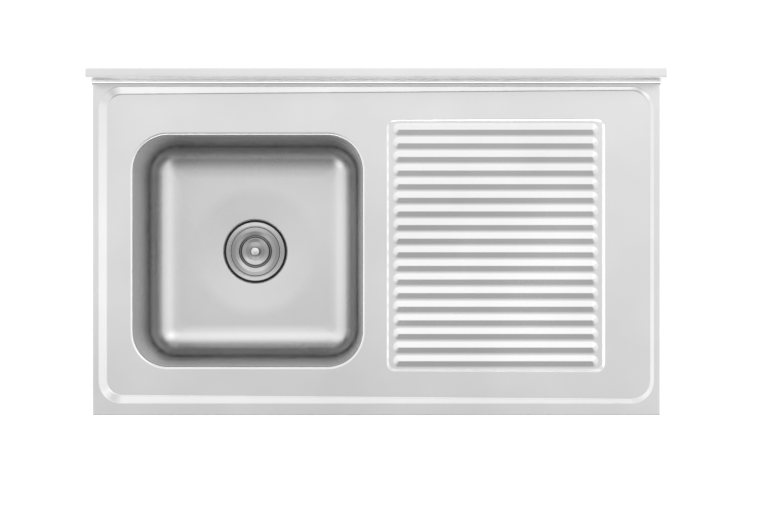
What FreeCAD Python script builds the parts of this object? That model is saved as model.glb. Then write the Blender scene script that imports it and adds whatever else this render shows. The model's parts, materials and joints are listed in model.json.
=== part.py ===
import FreeCAD, Part
import math
import os

from FreeCAD import Placement, Rotation, Vector

# A pressed stainless steel kitchen sink that lies on its cabinet: one bowl on the left, a ribbed
# drainboard on the right and an upstand along the wall.  All sizes are in millimetres.
# X runs to the right along the wall, Y runs from the user to the wall, Z runs up.
# The origin is the middle of the plane in which the sink rests on the cabinet.

# Overall size
LENGTH = 1000.0
DEPTH = 605.0
RIM_HEIGHT = 40.0
SHEET = 0.8
EDGE_RADIUS = 3.0
RETURN_WIDTH = 15.0

# Upstand along the wall, folded from the deck's sheet
UPSTAND_HEIGHT = 70.0
UPSTAND_THICKNESS = 17.0
UPSTAND_LIP = 18.0
UPSTAND_RADIUS = 2.5
COVE_RADIUS = 6.0

# Raised rim and the step down from it to the deck, which falls from right to left
RIM_SIDE = 12.0
RIM_FRONT = 22.5
RIM_REAR = 9.0
STEP_SLOPE = 35.0
STEP_LEFT = 9.2
STEP_RIGHT = 4.2
STEP_CORNER = 40.0
STEP_TOP_RADIUS = 2.0
STEP_FOOT_RADIUS = 4.0

# Bowl opening, measured on the deck, and the bowl below it; the margins are counted from the
# sink's left and front edges and from the front of the upstand
BOWL_LENGTH = 404.0
BOWL_LEFT_MARGIN = 71.0
BOWL_FRONT_MARGIN = 87.0
BOWL_REAR_MARGIN = 94.0
BOWL_CORNER = 62.0
BOWL_LIP_RADIUS = 5.5
BOWL_NECK = 3.0
BOWL_DEPTH = 190.0
BOWL_DRAFT = 4.0
BOWL_FLOOR_RADIUS = 46.0
BOWL_FLOOR_FALL = 2.5

# Ribbed drainboard, a shallow recess in the deck with ribs along it; the gap is counted from the
# bowl's opening and the margins as for the bowl
DRAINER_GAP = 43.0
DRAINER_RIGHT_MARGIN = 98.0
DRAINER_FRONT_MARGIN = 78.0
DRAINER_REAR_MARGIN = 66.0
DRAINER_CORNER = 15.0
DRAINER_WALL_SLOPE = 45.0
DRAINER_LEFT = 3.0
DRAINER_RIGHT = 4.5
DRAINER_TOP_RADIUS = 1.5
DRAINER_FOOT_RADIUS = 1.5
RIB_PITCH = 24.0
RIB_SIDE_MARGIN = 6.0
RIB_GAP = 1.2
RIB_HEIGHT = 2.4
RIB_CREST = 2.5
RIB_ROOT = 0.3
RIB_END_MARGIN = 10.0

# Seat of the waste in the bowl's floor
DISH_MARGIN = 13.4
SEAT_MARGIN = 1.4
SEAT_DEPTH = 2.5
WASTE_HOLE_RADIUS = 45.2

# Waste: flanged cup with the seals and the nut that clamp it to the bowl
GASKET_SHOW = 4.1
GASKET_THICKNESS = 1.8
GASKET_BEVEL = 0.6
FLANGE_WIDTH = 7.5
FLANGE_THICKNESS = 1.2
FLANGE_BEVEL = 0.5
LEDGE_WIDTH = 4.3
CUP_WALL = 1.2
CUP_CLEARANCE = 0.8
LEDGE_GAP = 0.2
SHELF_DEPTH = 13.0
SHELF_WIDTH = 2.4
CUP_DEPTH = 52.0
CUP_FLOOR_BEVEL = 5.0
SPIGOT_WALL = 2.5
SPIGOT_LENGTH = 22.0
UNDER_GASKET_THICKNESS = 3.0
SLIP_WASHER_THICKNESS = 1.0
CLAMP_WIDTH = 8.6
THREAD_CLEARANCE = 0.3
LOCK_NUT_HEIGHT = 11.0
LOCK_NUT_FLANGE = 3.0
LOCK_NUT_WALL = 4.0
LOCK_NUT_LUGS = 6
LOCK_NUT_LUG_WIDTH = 9.0

# Strainer basket with its post and stopper
BASKET_SHEET = 0.8
BASKET_CLEARANCE = 0.5
BASKET_WALL_GAP = 1.0
BASKET_DEPTH = 26.0
BASKET_BEVEL = 4.0
BASKET_HOLE_RADIUS = 2.2
BASKET_RINGS = 2
BASKET_RING_START = 17.0
BASKET_RING_STEP = 9.0
BASKET_HOLE_SPACING = 13.5
POST_RADIUS = 3.0
POST_COLLAR_RADIUS = 8.0
POST_COLLAR_HEIGHT = 1.5
POST_HEAD_RADIUS = 7.0
POST_HEAD_HEIGHT = 5.0
POST_HEIGHT = 15.0
POST_BEVEL = 1.2
POST_FIT = 0.1
STOPPER_OVERLAP = 3.0
STOPPER_TAPER = 5.0
STOPPER_HEIGHT = 8.0
STOPPER_NUT_RADIUS = 5.8
STOPPER_NUT_HEIGHT = 4.0
NUT_CORNERS = 6

# Lid over the strainer, a stepped dish with a knob; depths are counted from its flat rim
LID_SHEET = 0.8
LID_CLEARANCE = 0.75
LID_SHOULDER_RADIUS = 37.5
LID_GROOVE_OUTER = 30.5
LID_GROOVE_INNER = 26.5
LID_GROOVE_DEPTH = 4.4
LID_CREST_RADIUS = 23.5
LID_CREST_DEPTH = 2.0
LID_DISH_RADIUS = 12.0
LID_DISH_DEPTH = 3.4
KNOB_RADIUS = 8.5
KNOB_WAIST = 5.0
KNOB_FOOT = 7.0
KNOB_FOOT_HEIGHT = 1.5
KNOB_HEIGHT = 14.0
KNOB_HEAD_HEIGHT = 6.0
KNOB_CROWN = 2.5
KNOB_SHOULDER_RADIUS = 7.0
KNOB_SHOULDER_DROP = 0.8
KNOB_TOP_RADIUS = 4.0
KNOB_SCREW_RADIUS = 2.0
KNOB_SCREW_HEAD = 4.0
KNOB_SCREW_HEAD_HEIGHT = 2.0
KNOB_SCREW_REACH = 7.0

# Tailpiece below the cup and the nut that holds it
TAIL_RADIUS = 20.0
TAIL_WALL = 1.5
TAIL_LENGTH = 110.0
TAIL_COLLAR_WIDTH = 2.0
TAIL_COLLAR_HEIGHT = 3.0
TAIL_NECK_RELIEF = 0.5
TAIL_NECK_SHOW = 1.0
TAIL_WASHER_THICKNESS = 2.0
COUPLING_WALL = 5.0
COUPLING_THREAD = 14.0
COUPLING_FLOOR = 3.0
COUPLING_GRIPS = 12
COUPLING_GRIP_RADIUS = 2.5

# Rear apron, stiffeners under the drainboard and sound pads on the bowl
APRON_OVERLAP = 22.0
END_GAP = 0.3
STIFFENER_SIDE_MARGIN = 62.0
STIFFENER_END_MARGIN = 22.0
STIFFENER_CROWN = 34.0
STIFFENER_FLANGE = 14.0
STIFFENER_HEIGHT = 15.0
STIFFENER_SHEET = 1.0
STIFFENER_WALL_SLOPE = 75.0
PAD_THICKNESS = 3.0
PAD_END_MARGIN = 30.0
PAD_HEIGHT = 90.0
PAD_DROP = 22.0
PAD_CORNER = 12.0
FLOOR_PAD_MARGIN = 6.0

# Brackets that hold the sink down on the cabinet's side panels
PANEL_THICKNESS = 16.0
BRACKET_WIDTH = 30.0
BRACKET_SHEET = 2.0
BRACKET_DROP = 45.0
BRACKET_SPACING = 380.0
BRACKET_GAP = 0.5
BRACKET_CORNER = 7.5
BRACKET_HOLE_RADIUS = 2.6
BRACKET_HOLE_DROP = 28.0

# Sizes and places that follow from the sizes above
CUP_OUTER = WASTE_HOLE_RADIUS - CUP_CLEARANCE
CUP_RADIUS = CUP_OUTER - CUP_WALL
SHELF_RADIUS = CUP_RADIUS - SHELF_WIDTH
MOUTH_RADIUS = CUP_RADIUS + LEDGE_WIDTH
FLANGE_RADIUS = MOUTH_RADIUS + FLANGE_WIDTH
GASKET_RADIUS = FLANGE_RADIUS + GASKET_SHOW
SEAT_RADIUS = GASKET_RADIUS + SEAT_MARGIN
CLAMP_RADIUS = CUP_OUTER + CLAMP_WIDTH
LID_RADIUS = MOUTH_RADIUS - LID_CLEARANCE
SPIGOT_RADIUS = TAIL_RADIUS + TAIL_COLLAR_WIDTH
OUTLET_RADIUS = SPIGOT_RADIUS - SPIGOT_WALL
STOPPER_RADIUS = OUTLET_RADIUS + STOPPER_OVERLAP
WALL_Y = DEPTH / 2
FRONT_Y = -DEPTH / 2
UPSTAND_Y = WALL_Y - UPSTAND_THICKNESS
UPSTAND_TOP = RIM_HEIGHT + UPSTAND_HEIGHT
STEP_X0 = -LENGTH / 2 + RIM_SIDE
STEP_X1 = LENGTH / 2 - RIM_SIDE
STEP_Y0 = FRONT_Y + RIM_FRONT
STEP_Y1 = UPSTAND_Y - RIM_REAR
STEP_CENTRE_Y = (STEP_Y0 + STEP_Y1) / 2
STEP_LENGTH = STEP_X1 - STEP_X0
STEP_WIDTH = STEP_Y1 - STEP_Y0
BOWL_WIDTH = DEPTH - UPSTAND_THICKNESS - BOWL_FRONT_MARGIN - BOWL_REAR_MARGIN
BOWL_X = BOWL_LEFT_MARGIN + BOWL_LENGTH / 2 - LENGTH / 2
BOWL_Y = FRONT_Y + BOWL_FRONT_MARGIN + BOWL_WIDTH / 2
DRAINER_X0 = BOWL_X + BOWL_LENGTH / 2 + DRAINER_GAP
DRAINER_X1 = LENGTH / 2 - DRAINER_RIGHT_MARGIN
DRAINER_LENGTH = DRAINER_X1 - DRAINER_X0
DRAINER_WIDTH = DEPTH - UPSTAND_THICKNESS - DRAINER_FRONT_MARGIN - DRAINER_REAR_MARGIN
DRAINER_X = (DRAINER_X0 + DRAINER_X1) / 2
DRAINER_Y = FRONT_Y + DRAINER_FRONT_MARGIN + DRAINER_WIDTH / 2
RIB_COUNT = int((DRAINER_WIDTH - 2 * RIB_SIDE_MARGIN) / RIB_PITCH)
STIFFENER_PITCH = DRAINER_LENGTH / 2 - STIFFENER_SIDE_MARGIN

# Helpers for cuts: a length beyond the whole sink, and how far a cutting shape stands over
REACH = 400.0
OVERRUN = 2.0


def slope_of(drop_left, drop_right, length):
    """Angle, in degrees, of a plane that is drop_left deep at one end and drop_right at the other."""
    return math.degrees(math.atan((drop_left - drop_right) / length))


def deck_drop(x):
    """Depth of the recessed deck below the rim at the place x along the sink."""
    share = (x - STEP_X0) / STEP_LENGTH
    return STEP_LEFT + (STEP_RIGHT - STEP_LEFT) * share


DECK_FALL = slope_of(STEP_LEFT, STEP_RIGHT, STEP_LENGTH)
DECK_AT_BOWL = RIM_HEIGHT - deck_drop(BOWL_X)
DECK_AT_BOWL_LEFT = RIM_HEIGHT - deck_drop(BOWL_X - BOWL_LENGTH / 2)
WELD_Z = DECK_AT_BOWL_LEFT - BOWL_LIP_RADIUS - BOWL_NECK
FLOOR_Z = DECK_AT_BOWL - BOWL_DEPTH
SEAT_Z = FLOOR_Z - BOWL_FLOOR_FALL - SEAT_DEPTH
BOWL_NARROWING = (WELD_Z - FLOOR_Z) * math.tan(math.radians(BOWL_DRAFT))
DISH_RADIUS = min(BOWL_LENGTH, BOWL_WIDTH) / 2 - BOWL_NARROWING - BOWL_FLOOR_RADIUS - DISH_MARGIN
DRAINER_Z0 = RIM_HEIGHT - deck_drop(DRAINER_X0) - DRAINER_LEFT
DRAINER_Z1 = RIM_HEIGHT - deck_drop(DRAINER_X1) - DRAINER_RIGHT
DRAINER_FALL = slope_of(-DRAINER_Z0, -DRAINER_Z1, DRAINER_LENGTH)
DRAINER_Z = (DRAINER_Z0 + DRAINER_Z1) / 2
LEDGE_Z = SEAT_Z + LEDGE_GAP + CUP_WALL
FLANGE_Z = SEAT_Z + GASKET_THICKNESS + FLANGE_THICKNESS
SHELF_Z = LEDGE_Z - SHELF_DEPTH
CUP_FLOOR_Z = LEDGE_Z - CUP_DEPTH
SPIGOT_Z = CUP_FLOOR_Z - CUP_WALL - SPIGOT_LENGTH
UNDER_Z = SEAT_Z - SHEET
CLAMP_Z = UNDER_Z - UNDER_GASKET_THICKNESS
NUT_Z = CLAMP_Z - SLIP_WASHER_THICKNESS
BASKET_FLOOR_Z = SHELF_Z - BASKET_DEPTH
STOPPER_Z = BASKET_FLOOR_Z - BASKET_SHEET
LID_Z = LEDGE_Z + LID_SHEET
LID_CENTRE_Z = LID_Z - LID_DISH_DEPTH
COLLAR_Z = SPIGOT_Z - TAIL_WASHER_THICKNESS
COUPLING_Z = COLLAR_Z - TAIL_COLLAR_HEIGHT - COUPLING_FLOOR
PANEL_X = LENGTH / 2 - PANEL_THICKNESS


# Basic shapes

def block(x0, x1, y0, y1, z0, z1):
    """A box between two corners."""
    return Part.makeBox(x1 - x0, y1 - y0, z1 - z0, Vector(x0, y0, z0))


def outline(x, y, length, width, radius, z):
    """A level rectangle with round corners, as a closed wire."""
    x0 = x - length / 2
    x1 = x + length / 2
    y0 = y - width / 2
    y1 = y + width / 2
    corners = ((x1, y0, -90), (x1, y1, 0), (x0, y1, 90), (x0, y0, 180))
    edges = []
    points = []
    for corner_x, corner_y, start in corners:
        inward = Vector(x - corner_x, y - corner_y, 0)
        centre_x = corner_x + math.copysign(radius, inward.x)
        centre_y = corner_y + math.copysign(radius, inward.y)
        arc = []
        for turn in (0, 45, 90):
            angle = math.radians(start + turn)
            arc.append(Vector(centre_x + radius * math.cos(angle), centre_y + radius * math.sin(angle), z))
        points.append(arc)
    for index, arc in enumerate(points):
        edges.append(Part.Arc(*arc).toShape())
        edges.append(Part.LineSegment(arc[2], points[(index + 1) % 4][0]).toShape())
    return Part.Wire(edges)


def prism(x, y, length, width, radius, z0, z1):
    """A block with round vertical corners."""
    return Part.Face(outline(x, y, length, width, radius, z0)).extrude(Vector(0, 0, z1 - z0))


def tapered(x, y, length, width, radius, z_top, z_bottom, slope):
    """A block with round corners whose sides lean in towards the bottom, slope degrees from level."""
    inset = (z_top - z_bottom) / math.tan(math.radians(slope))
    top = outline(x, y, length, width, radius, z_top)
    bottom = outline(x, y, length - 2 * inset, width - 2 * inset, radius - inset, z_bottom)
    return Part.makeLoft([top, bottom], True, True)


def section(points):
    """A closed face from corner points; a point given with a third value starts an arc through
    the next point to the one after it."""
    edges = []
    count = len(points)
    index = 0
    while index < count:
        start = points[index]
        if len(start) > 2:
            middle = points[(index + 1) % count]
            end = points[(index + 2) % count]
            edges.append(Part.Arc(flat(start), flat(middle), flat(end)).toShape())
            index += 2
        else:
            end = points[(index + 1) % count]
            edges.append(Part.LineSegment(flat(start), flat(end)).toShape())
            index += 1
    return Part.Face(Part.Wire(edges))


def flat(point):
    """A point of a profile, radius or Y first and height second, in the XZ plane."""
    return Vector(point[0], 0, point[1])


def turned(points):
    """A solid of revolution about the vertical axis through the bowl's outlet."""
    solid = section(points).revolve(Vector(0, 0, 0), Vector(0, 0, 1), 360)
    solid.translate(Vector(BOWL_X, BOWL_Y, 0))
    return solid


def ring(inner, outer, z0, z1):
    """A plain ring round the outlet's axis."""
    return turned([(inner, z0), (outer, z0), (outer, z1), (inner, z1)])


def rod(radius, z0, z1):
    """A plain round bar on the outlet's axis."""
    return Part.makeCylinder(radius, z1 - z0, Vector(BOWL_X, BOWL_Y, z0))


def spread(shape, count, start=0.0):
    """Copies of a shape round the outlet's axis."""
    copies = []
    for index in range(count):
        copy = shape.copy()
        copy.rotate(Vector(BOWL_X, BOWL_Y, 0), Vector(0, 0, 1), start + index * 360 / count)
        copies.append(copy)
    return copies


def along_x(points, x0, x1):
    """A profile of Y and Z values drawn out along X."""
    face = section(points)
    face.rotate(Vector(0, 0, 0), Vector(0, 0, 1), 90)
    face.translate(Vector(x0, 0, 0))
    return face.extrude(Vector(x1 - x0, 0, 0))


def edges_where(shape, test):
    """The edges of a shape whose end and middle points all pass a test."""
    picked = []
    for edge in shape.Edges:
        middle = edge.valueAt((edge.FirstParameter + edge.LastParameter) / 2)
        points = [vertex.Point for vertex in edge.Vertexes] + [middle]
        if all(test(point) for point in points):
            picked.append(edge)
    return picked


def near(value, target, slack=0.01):
    """Whether two sizes are the same."""
    return abs(value - target) < slack


def round_off(shape, radius, test):
    """A shape with the edges that pass a test rounded."""
    return shape.makeFillet(radius, edges_where(shape, test))


def at_drainer(shape):
    """Moves a shape drawn round the origin onto the drainboard's floor, which falls to the left."""
    placed = shape.copy()
    placed.Placement = Placement(
        Vector(DRAINER_X, DRAINER_Y, DRAINER_Z), Rotation(Vector(0, 1, 0), -DRAINER_FALL)
    ).multiply(placed.Placement)
    return placed


# The deck: every function takes skin, the distance from the sheet's upper face, so that the same
# form drawn at 0 and at the sheet's thickness gives the two faces of the sheet.

def deck_block(skin):
    """Apron box and upstand as one mass; the inner mass runs out below."""
    top = RIM_HEIGHT - skin
    x = LENGTH / 2 - skin
    y0 = FRONT_Y + skin
    y1 = UPSTAND_Y + skin

    def outer_edge(point):
        on_rim = near(point.z, top) and not near(point.y, y1)
        on_corner = near(abs(point.x), x) and near(point.y, y0)
        return on_corner or (on_rim and on_box(point, x, y0))

    mass = round_off(block(-x, x, y0, y1, bottom(skin), top), EDGE_RADIUS - skin, outer_edge)
    return mass.fuse([upstand_mass(skin), cove(skin)]).removeSplitter()


def bottom(skin):
    """Height of the lower end of a mass: the rest plane, or below it for an inner mass."""
    return -OVERRUN if skin else 0.0


def on_box(point, x, y0):
    """Whether a point lies on the left, right or front side of the apron."""
    return near(abs(point.x), x) or near(point.y, y0)


def upstand_mass(skin):
    """The upstand above the deck; its inner mass runs out at both ends, behind and below."""
    overrun = OVERRUN if skin else 0.0
    x = LENGTH / 2 + overrun
    y0 = UPSTAND_Y + skin
    y1 = WALL_Y - skin
    z1 = UPSTAND_TOP - skin
    mass = block(-x, x, y0, y1, bottom(skin), z1)

    def long_edge(point):
        return near(point.z, z1) and (near(point.y, y0) or near(point.y, y1))

    mass = round_off(mass, UPSTAND_RADIUS - skin, long_edge)
    if skin:
        open_back = block(-x, x, y0, WALL_Y + overrun, bottom(skin), UPSTAND_TOP - UPSTAND_LIP)
        mass = mass.fuse(open_back)
    return mass


def cove(skin):
    """The hollow corner between the rim and the upstand."""
    x = LENGTH / 2 - skin
    y = UPSTAND_Y - COVE_RADIUS
    z = RIM_HEIGHT + COVE_RADIUS
    radius = COVE_RADIUS + skin
    diagonal = radius * math.sqrt(0.5)
    return along_x(
        [
            (y, z - radius, "arc"),
            (y + diagonal, z - diagonal),
            (y + radius, z),
            (y + radius, z - radius - EDGE_RADIUS),
            (y, z - radius - EDGE_RADIUS),
        ],
        -x,
        x,
    )


def step_pocket(skin):
    """The air above the recessed deck, inside the rim's sloping step."""
    tilt = math.tan(math.radians(STEP_SLOPE))
    grow = skin * math.tan(math.radians(STEP_SLOPE / 2))
    top = RIM_HEIGHT - skin + OVERRUN
    base = RIM_HEIGHT - skin - STEP_LEFT - 2 * OVERRUN
    extra = 2 * (grow + OVERRUN / tilt)
    pocket = tapered(
        (STEP_X0 + STEP_X1) / 2,
        STEP_CENTRE_Y,
        STEP_LENGTH + extra,
        STEP_WIDTH + extra,
        STEP_CORNER + extra / 2,
        top,
        base,
        STEP_SLOPE,
    )
    below = block(-LENGTH, LENGTH, -DEPTH, DEPTH, -REACH, 0)
    below.rotate(Vector(0, 0, 0), Vector(0, 1, 0), -DECK_FALL)
    below.translate(Vector(0, 0, RIM_HEIGHT - deck_drop(0) - skin))
    pocket = pocket.cut(below)
    foot = STEP_FOOT_RADIUS + skin
    return round_off(pocket, foot, lambda p: near(p.z, RIM_HEIGHT - deck_drop(p.x) - skin))


def bowl_hole(skin):
    """The opening for the bowl."""
    return prism(
        BOWL_X,
        BOWL_Y,
        BOWL_LENGTH + 2 * skin,
        BOWL_WIDTH + 2 * skin,
        BOWL_CORNER + skin,
        -REACH,
        RIM_HEIGHT + OVERRUN,
    )


def drainer_pocket(skin):
    """The air above the drainboard's floor, down from the deck."""
    tilt = math.tan(math.radians(DRAINER_WALL_SLOPE))
    grow = skin * math.tan(math.radians(DRAINER_WALL_SLOPE / 2))
    rise = DRAINER_RIGHT + OVERRUN
    mean = (DRAINER_LEFT + DRAINER_RIGHT) / 2
    extra = 2 * (grow + (rise - mean) / tilt)
    pocket = tapered(
        0,
        0,
        DRAINER_LENGTH + extra,
        DRAINER_WIDTH + extra,
        DRAINER_CORNER + extra / 2,
        rise - skin,
        -skin,
        DRAINER_WALL_SLOPE,
    )
    foot = DRAINER_FOOT_RADIUS + skin
    return at_drainer(round_off(pocket, foot, lambda p: near(p.z, -skin)))


def rib(skin):
    """One rib: two plain flanks that meet at a narrow crest, with half-cone ends."""
    width = RIB_PITCH - RIB_GAP
    slope = math.atan(2 * RIB_HEIGHT / (width - RIB_CREST))
    length = DRAINER_LENGTH - 2 * RIB_END_MARGIN
    widen = 2 * RIB_ROOT / math.tan(slope)
    base = stadium(length + widen, width + widen, -skin - RIB_ROOT)
    crest = stadium(length - width + RIB_CREST, RIB_CREST, RIB_HEIGHT - skin)
    return Part.makeLoft([base, crest], True, True)


def stadium(length, width, z):
    """A level outline with two straight sides and two half-round ends."""
    radius = width / 2
    x = length / 2 - radius
    sides = [
        Part.LineSegment(Vector(-x, -radius, z), Vector(x, -radius, z)),
        Part.Arc(Vector(x, -radius, z), Vector(x + radius, 0, z), Vector(x, radius, z)),
        Part.LineSegment(Vector(x, radius, z), Vector(-x, radius, z)),
        Part.Arc(Vector(-x, radius, z), Vector(-x - radius, 0, z), Vector(-x, -radius, z)),
    ]
    return Part.Wire([side.toShape() for side in sides])


def ribs(skin):
    """The drainboard's ribs, side by side."""
    first = -(RIB_COUNT - 1) * RIB_PITCH / 2
    pattern = rib(skin)
    solids = []
    for index in range(RIB_COUNT):
        solid = pattern.copy()
        solid.translate(Vector(0, first + index * RIB_PITCH, 0))
        solids.append(at_drainer(solid))
    return solids


def deck_mass(skin):
    """Everything below one face of the deck's sheet."""
    top = RIM_HEIGHT - skin
    edge_x = LENGTH / 2 - EDGE_RADIUS - OVERRUN
    edge_y = FRONT_Y + EDGE_RADIUS + OVERRUN

    def step_edge(point):
        inside = abs(point.x) < edge_x and edge_y < point.y < STEP_Y1 + OVERRUN
        return inside and near(point.z, top)

    def on_deck(point):
        return near(point.z, RIM_HEIGHT - deck_drop(point.x) - skin)

    def bowl_edge(point):
        return on_deck(point) and point.x < DRAINER_X0 - OVERRUN and within_bowl(point, skin)

    def drainer_edge(point):
        return on_deck(point) and point.x > DRAINER_X0 - 2 * OVERRUN and within_drainer(point)

    mass = deck_block(skin).cut(step_pocket(skin))
    mass = round_off(mass, STEP_TOP_RADIUS - skin, step_edge)
    mass = round_off(mass.cut(bowl_hole(skin)), BOWL_LIP_RADIUS - skin, bowl_edge)
    mass = round_off(mass.cut(drainer_pocket(skin)), DRAINER_TOP_RADIUS - skin, drainer_edge)
    return mass.fuse(ribs(skin)).removeSplitter()


def within_bowl(point, skin):
    """Whether a point lies on or inside the bowl's opening."""
    reach_x = BOWL_LENGTH / 2 + skin + OVERRUN
    reach_y = BOWL_WIDTH / 2 + skin + OVERRUN
    return abs(point.x - BOWL_X) < reach_x and abs(point.y - BOWL_Y) < reach_y


def within_drainer(point):
    """Whether a point lies on or inside the edge of the drainboard's recess."""
    reach_x = DRAINER_LENGTH / 2 + 2 * OVERRUN
    reach_y = DRAINER_WIDTH / 2 + 2 * OVERRUN
    return abs(point.x - DRAINER_X) < reach_x and abs(point.y - DRAINER_Y) < reach_y


def deck():
    """The deck pressing with its aprons, their returns and the folded upstand."""
    x = LENGTH / 2 - SHEET
    inner_y = UPSTAND_Y + SHEET
    hollow = block(-x, x, FRONT_Y + SHEET, WALL_Y + OVERRUN, -OVERRUN, WELD_Z)
    outer = deck_mass(0)
    sheet = outer.cut([deck_mass(SHEET), hollow])
    plate = block(-LENGTH, LENGTH, -DEPTH, inner_y, 0, SHEET)
    free_x = LENGTH / 2 - RETURN_WIDTH
    opening = block(-free_x, free_x, FRONT_Y + RETURN_WIDTH, DEPTH, -OVERRUN, OVERRUN)
    returns = apron_outline().common(plate).cut(opening)
    return sheet.fuse(returns).removeSplitter()


def apron_outline():
    """A block with the apron's outline in plan and its two round front corners."""
    x = LENGTH / 2
    mass = block(-x, x, FRONT_Y, UPSTAND_Y + SHEET, 0, RIM_HEIGHT)
    return round_off(mass, EDGE_RADIUS, lambda p: near(abs(p.x), x) and near(p.y, FRONT_Y))


# Pieces welded to the deck

def upstand_cap(side):
    """End plate of the upstand with a foot on the cabinet; side is -1 at the left, 1 at the right."""
    x = LENGTH / 2
    y0 = UPSTAND_Y + SHEET
    y1 = WALL_Y - SHEET
    top = UPSTAND_TOP - SHEET
    plate = block(x - SHEET, x, y0, y1, 0, top)

    def top_corner(point):
        return near(point.z, top) and (near(point.y, y0) or near(point.y, y1))

    plate = round_off(plate, UPSTAND_RADIUS - SHEET, top_corner)
    foot = block(x - RETURN_WIDTH, x, y0 + SHEET + END_GAP, y1, 0, SHEET)
    cap = plate.fuse(foot).removeSplitter()
    if side < 0:
        cap = cap.mirror(Vector(0, 0, 0), Vector(1, 0, 0))
    return cap


def rear_apron():
    """Strip behind the deck that carries its rear edge down to the cabinet."""
    x = LENGTH / 2 - SHEET - END_GAP
    foot_x = LENGTH / 2 - RETURN_WIDTH - END_GAP
    y = UPSTAND_Y + SHEET
    web = block(-x, x, y, y + SHEET, 0, RIM_HEIGHT + APRON_OVERLAP)
    foot = block(-foot_x, foot_x, y + SHEET - RETURN_WIDTH, y, 0, SHEET)
    return web.fuse(foot).removeSplitter()


def stiffener(index):
    """A hat section across the drainboard's underside, its flanges against the floor."""
    half_crown = STIFFENER_CROWN / 2
    slope = math.radians(STIFFENER_WALL_SLOPE)
    run = STIFFENER_HEIGHT / math.tan(slope)
    wall = STIFFENER_SHEET / math.sin(slope)
    step = STIFFENER_SHEET / math.tan(slope)
    top = -SHEET
    low = top - STIFFENER_HEIGHT
    wide = half_crown + run
    half = [
        (wide + STIFFENER_FLANGE, top),
        (wide + STIFFENER_FLANGE, top - STIFFENER_SHEET),
        (wide + wall - step, top - STIFFENER_SHEET),
        (half_crown + wall, low),
    ]
    inner = [(half_crown + step, low + STIFFENER_SHEET), (wide, top)]
    mirrored = [(-x, z) for x, z in half]
    inner_mirrored = [(-x, z) for x, z in inner]
    profile = half + mirrored[::-1] + inner_mirrored[::-1] + inner
    length = DRAINER_WIDTH - 2 * STIFFENER_END_MARGIN
    face = section(profile)
    face.translate(Vector(index * STIFFENER_PITCH, -length / 2, 0))
    return at_drainer(face.extrude(Vector(0, length, 0)))


# The bowl

def bowl_mass(skin):
    """The inside of the bowl, or with skin its outside."""
    body = tapered(
        BOWL_X,
        BOWL_Y,
        BOWL_LENGTH + 2 * skin,
        BOWL_WIDTH + 2 * skin,
        BOWL_CORNER + skin,
        WELD_Z,
        FLOOR_Z - skin,
        90 - BOWL_DRAFT,
    )
    body = round_off(body, BOWL_FLOOR_RADIUS + skin, lambda p: near(p.z, FLOOR_Z - skin))
    edge = SEAT_RADIUS + skin
    low = SEAT_Z - skin
    dish = turned(
        [
            (0, FLOOR_Z + OVERRUN),
            (DISH_RADIUS, FLOOR_Z + OVERRUN),
            (DISH_RADIUS, FLOOR_Z - skin),
            (edge, FLOOR_Z - skin - BOWL_FLOOR_FALL),
            (edge, low),
            (0, low),
        ]
    )
    return body.fuse(dish).removeSplitter()


def bowl():
    """The deep-drawn bowl, welded by its upper edge to the neck of the deck."""
    hole = rod(WASTE_HOLE_RADIUS, SEAT_Z - REACH, SEAT_Z + OVERRUN)
    return bowl_mass(SHEET).cut([bowl_mass(0), hole])


def sound_pad(turn):
    """Pad on the outside of one bowl wall: turn 0 right, 90 rear, 180 left, 270 front."""
    half, side = (BOWL_WIDTH / 2, BOWL_LENGTH) if turn % 180 else (BOWL_LENGTH / 2, BOWL_WIDTH)
    length = side - 2 * (BOWL_CORNER + PAD_END_MARGIN)
    drop = PAD_DROP + PAD_HEIGHT / 2
    distance = half + SHEET - drop * math.tan(math.radians(BOWL_DRAFT))
    pad = prism(0, 0, PAD_HEIGHT, length, PAD_CORNER, 0, PAD_THICKNESS)
    pad.rotate(Vector(0, 0, 0), Vector(0, 1, 0), 90 + BOWL_DRAFT)
    pad.translate(Vector(distance, 0, 0))
    pad.rotate(Vector(0, 0, 0), Vector(0, 0, 1), turn)
    pad.translate(Vector(BOWL_X, BOWL_Y, WELD_Z - drop))
    return pad


def floor_pad():
    """Ring-shaped pad under the bowl's sloping floor."""
    inner = SEAT_RADIUS + SHEET + FLOOR_PAD_MARGIN
    outer = DISH_RADIUS - FLOOR_PAD_MARGIN
    fall = BOWL_FLOOR_FALL / (DISH_RADIUS - SEAT_RADIUS - SHEET)
    z_inner = FLOOR_Z - SHEET - (DISH_RADIUS - inner) * fall
    z_outer = FLOOR_Z - SHEET - (DISH_RADIUS - outer) * fall
    return turned(
        [
            (inner, z_inner - PAD_THICKNESS),
            (outer, z_outer - PAD_THICKNESS),
            (outer, z_outer),
            (inner, z_inner),
        ]
    )


# The waste

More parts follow.
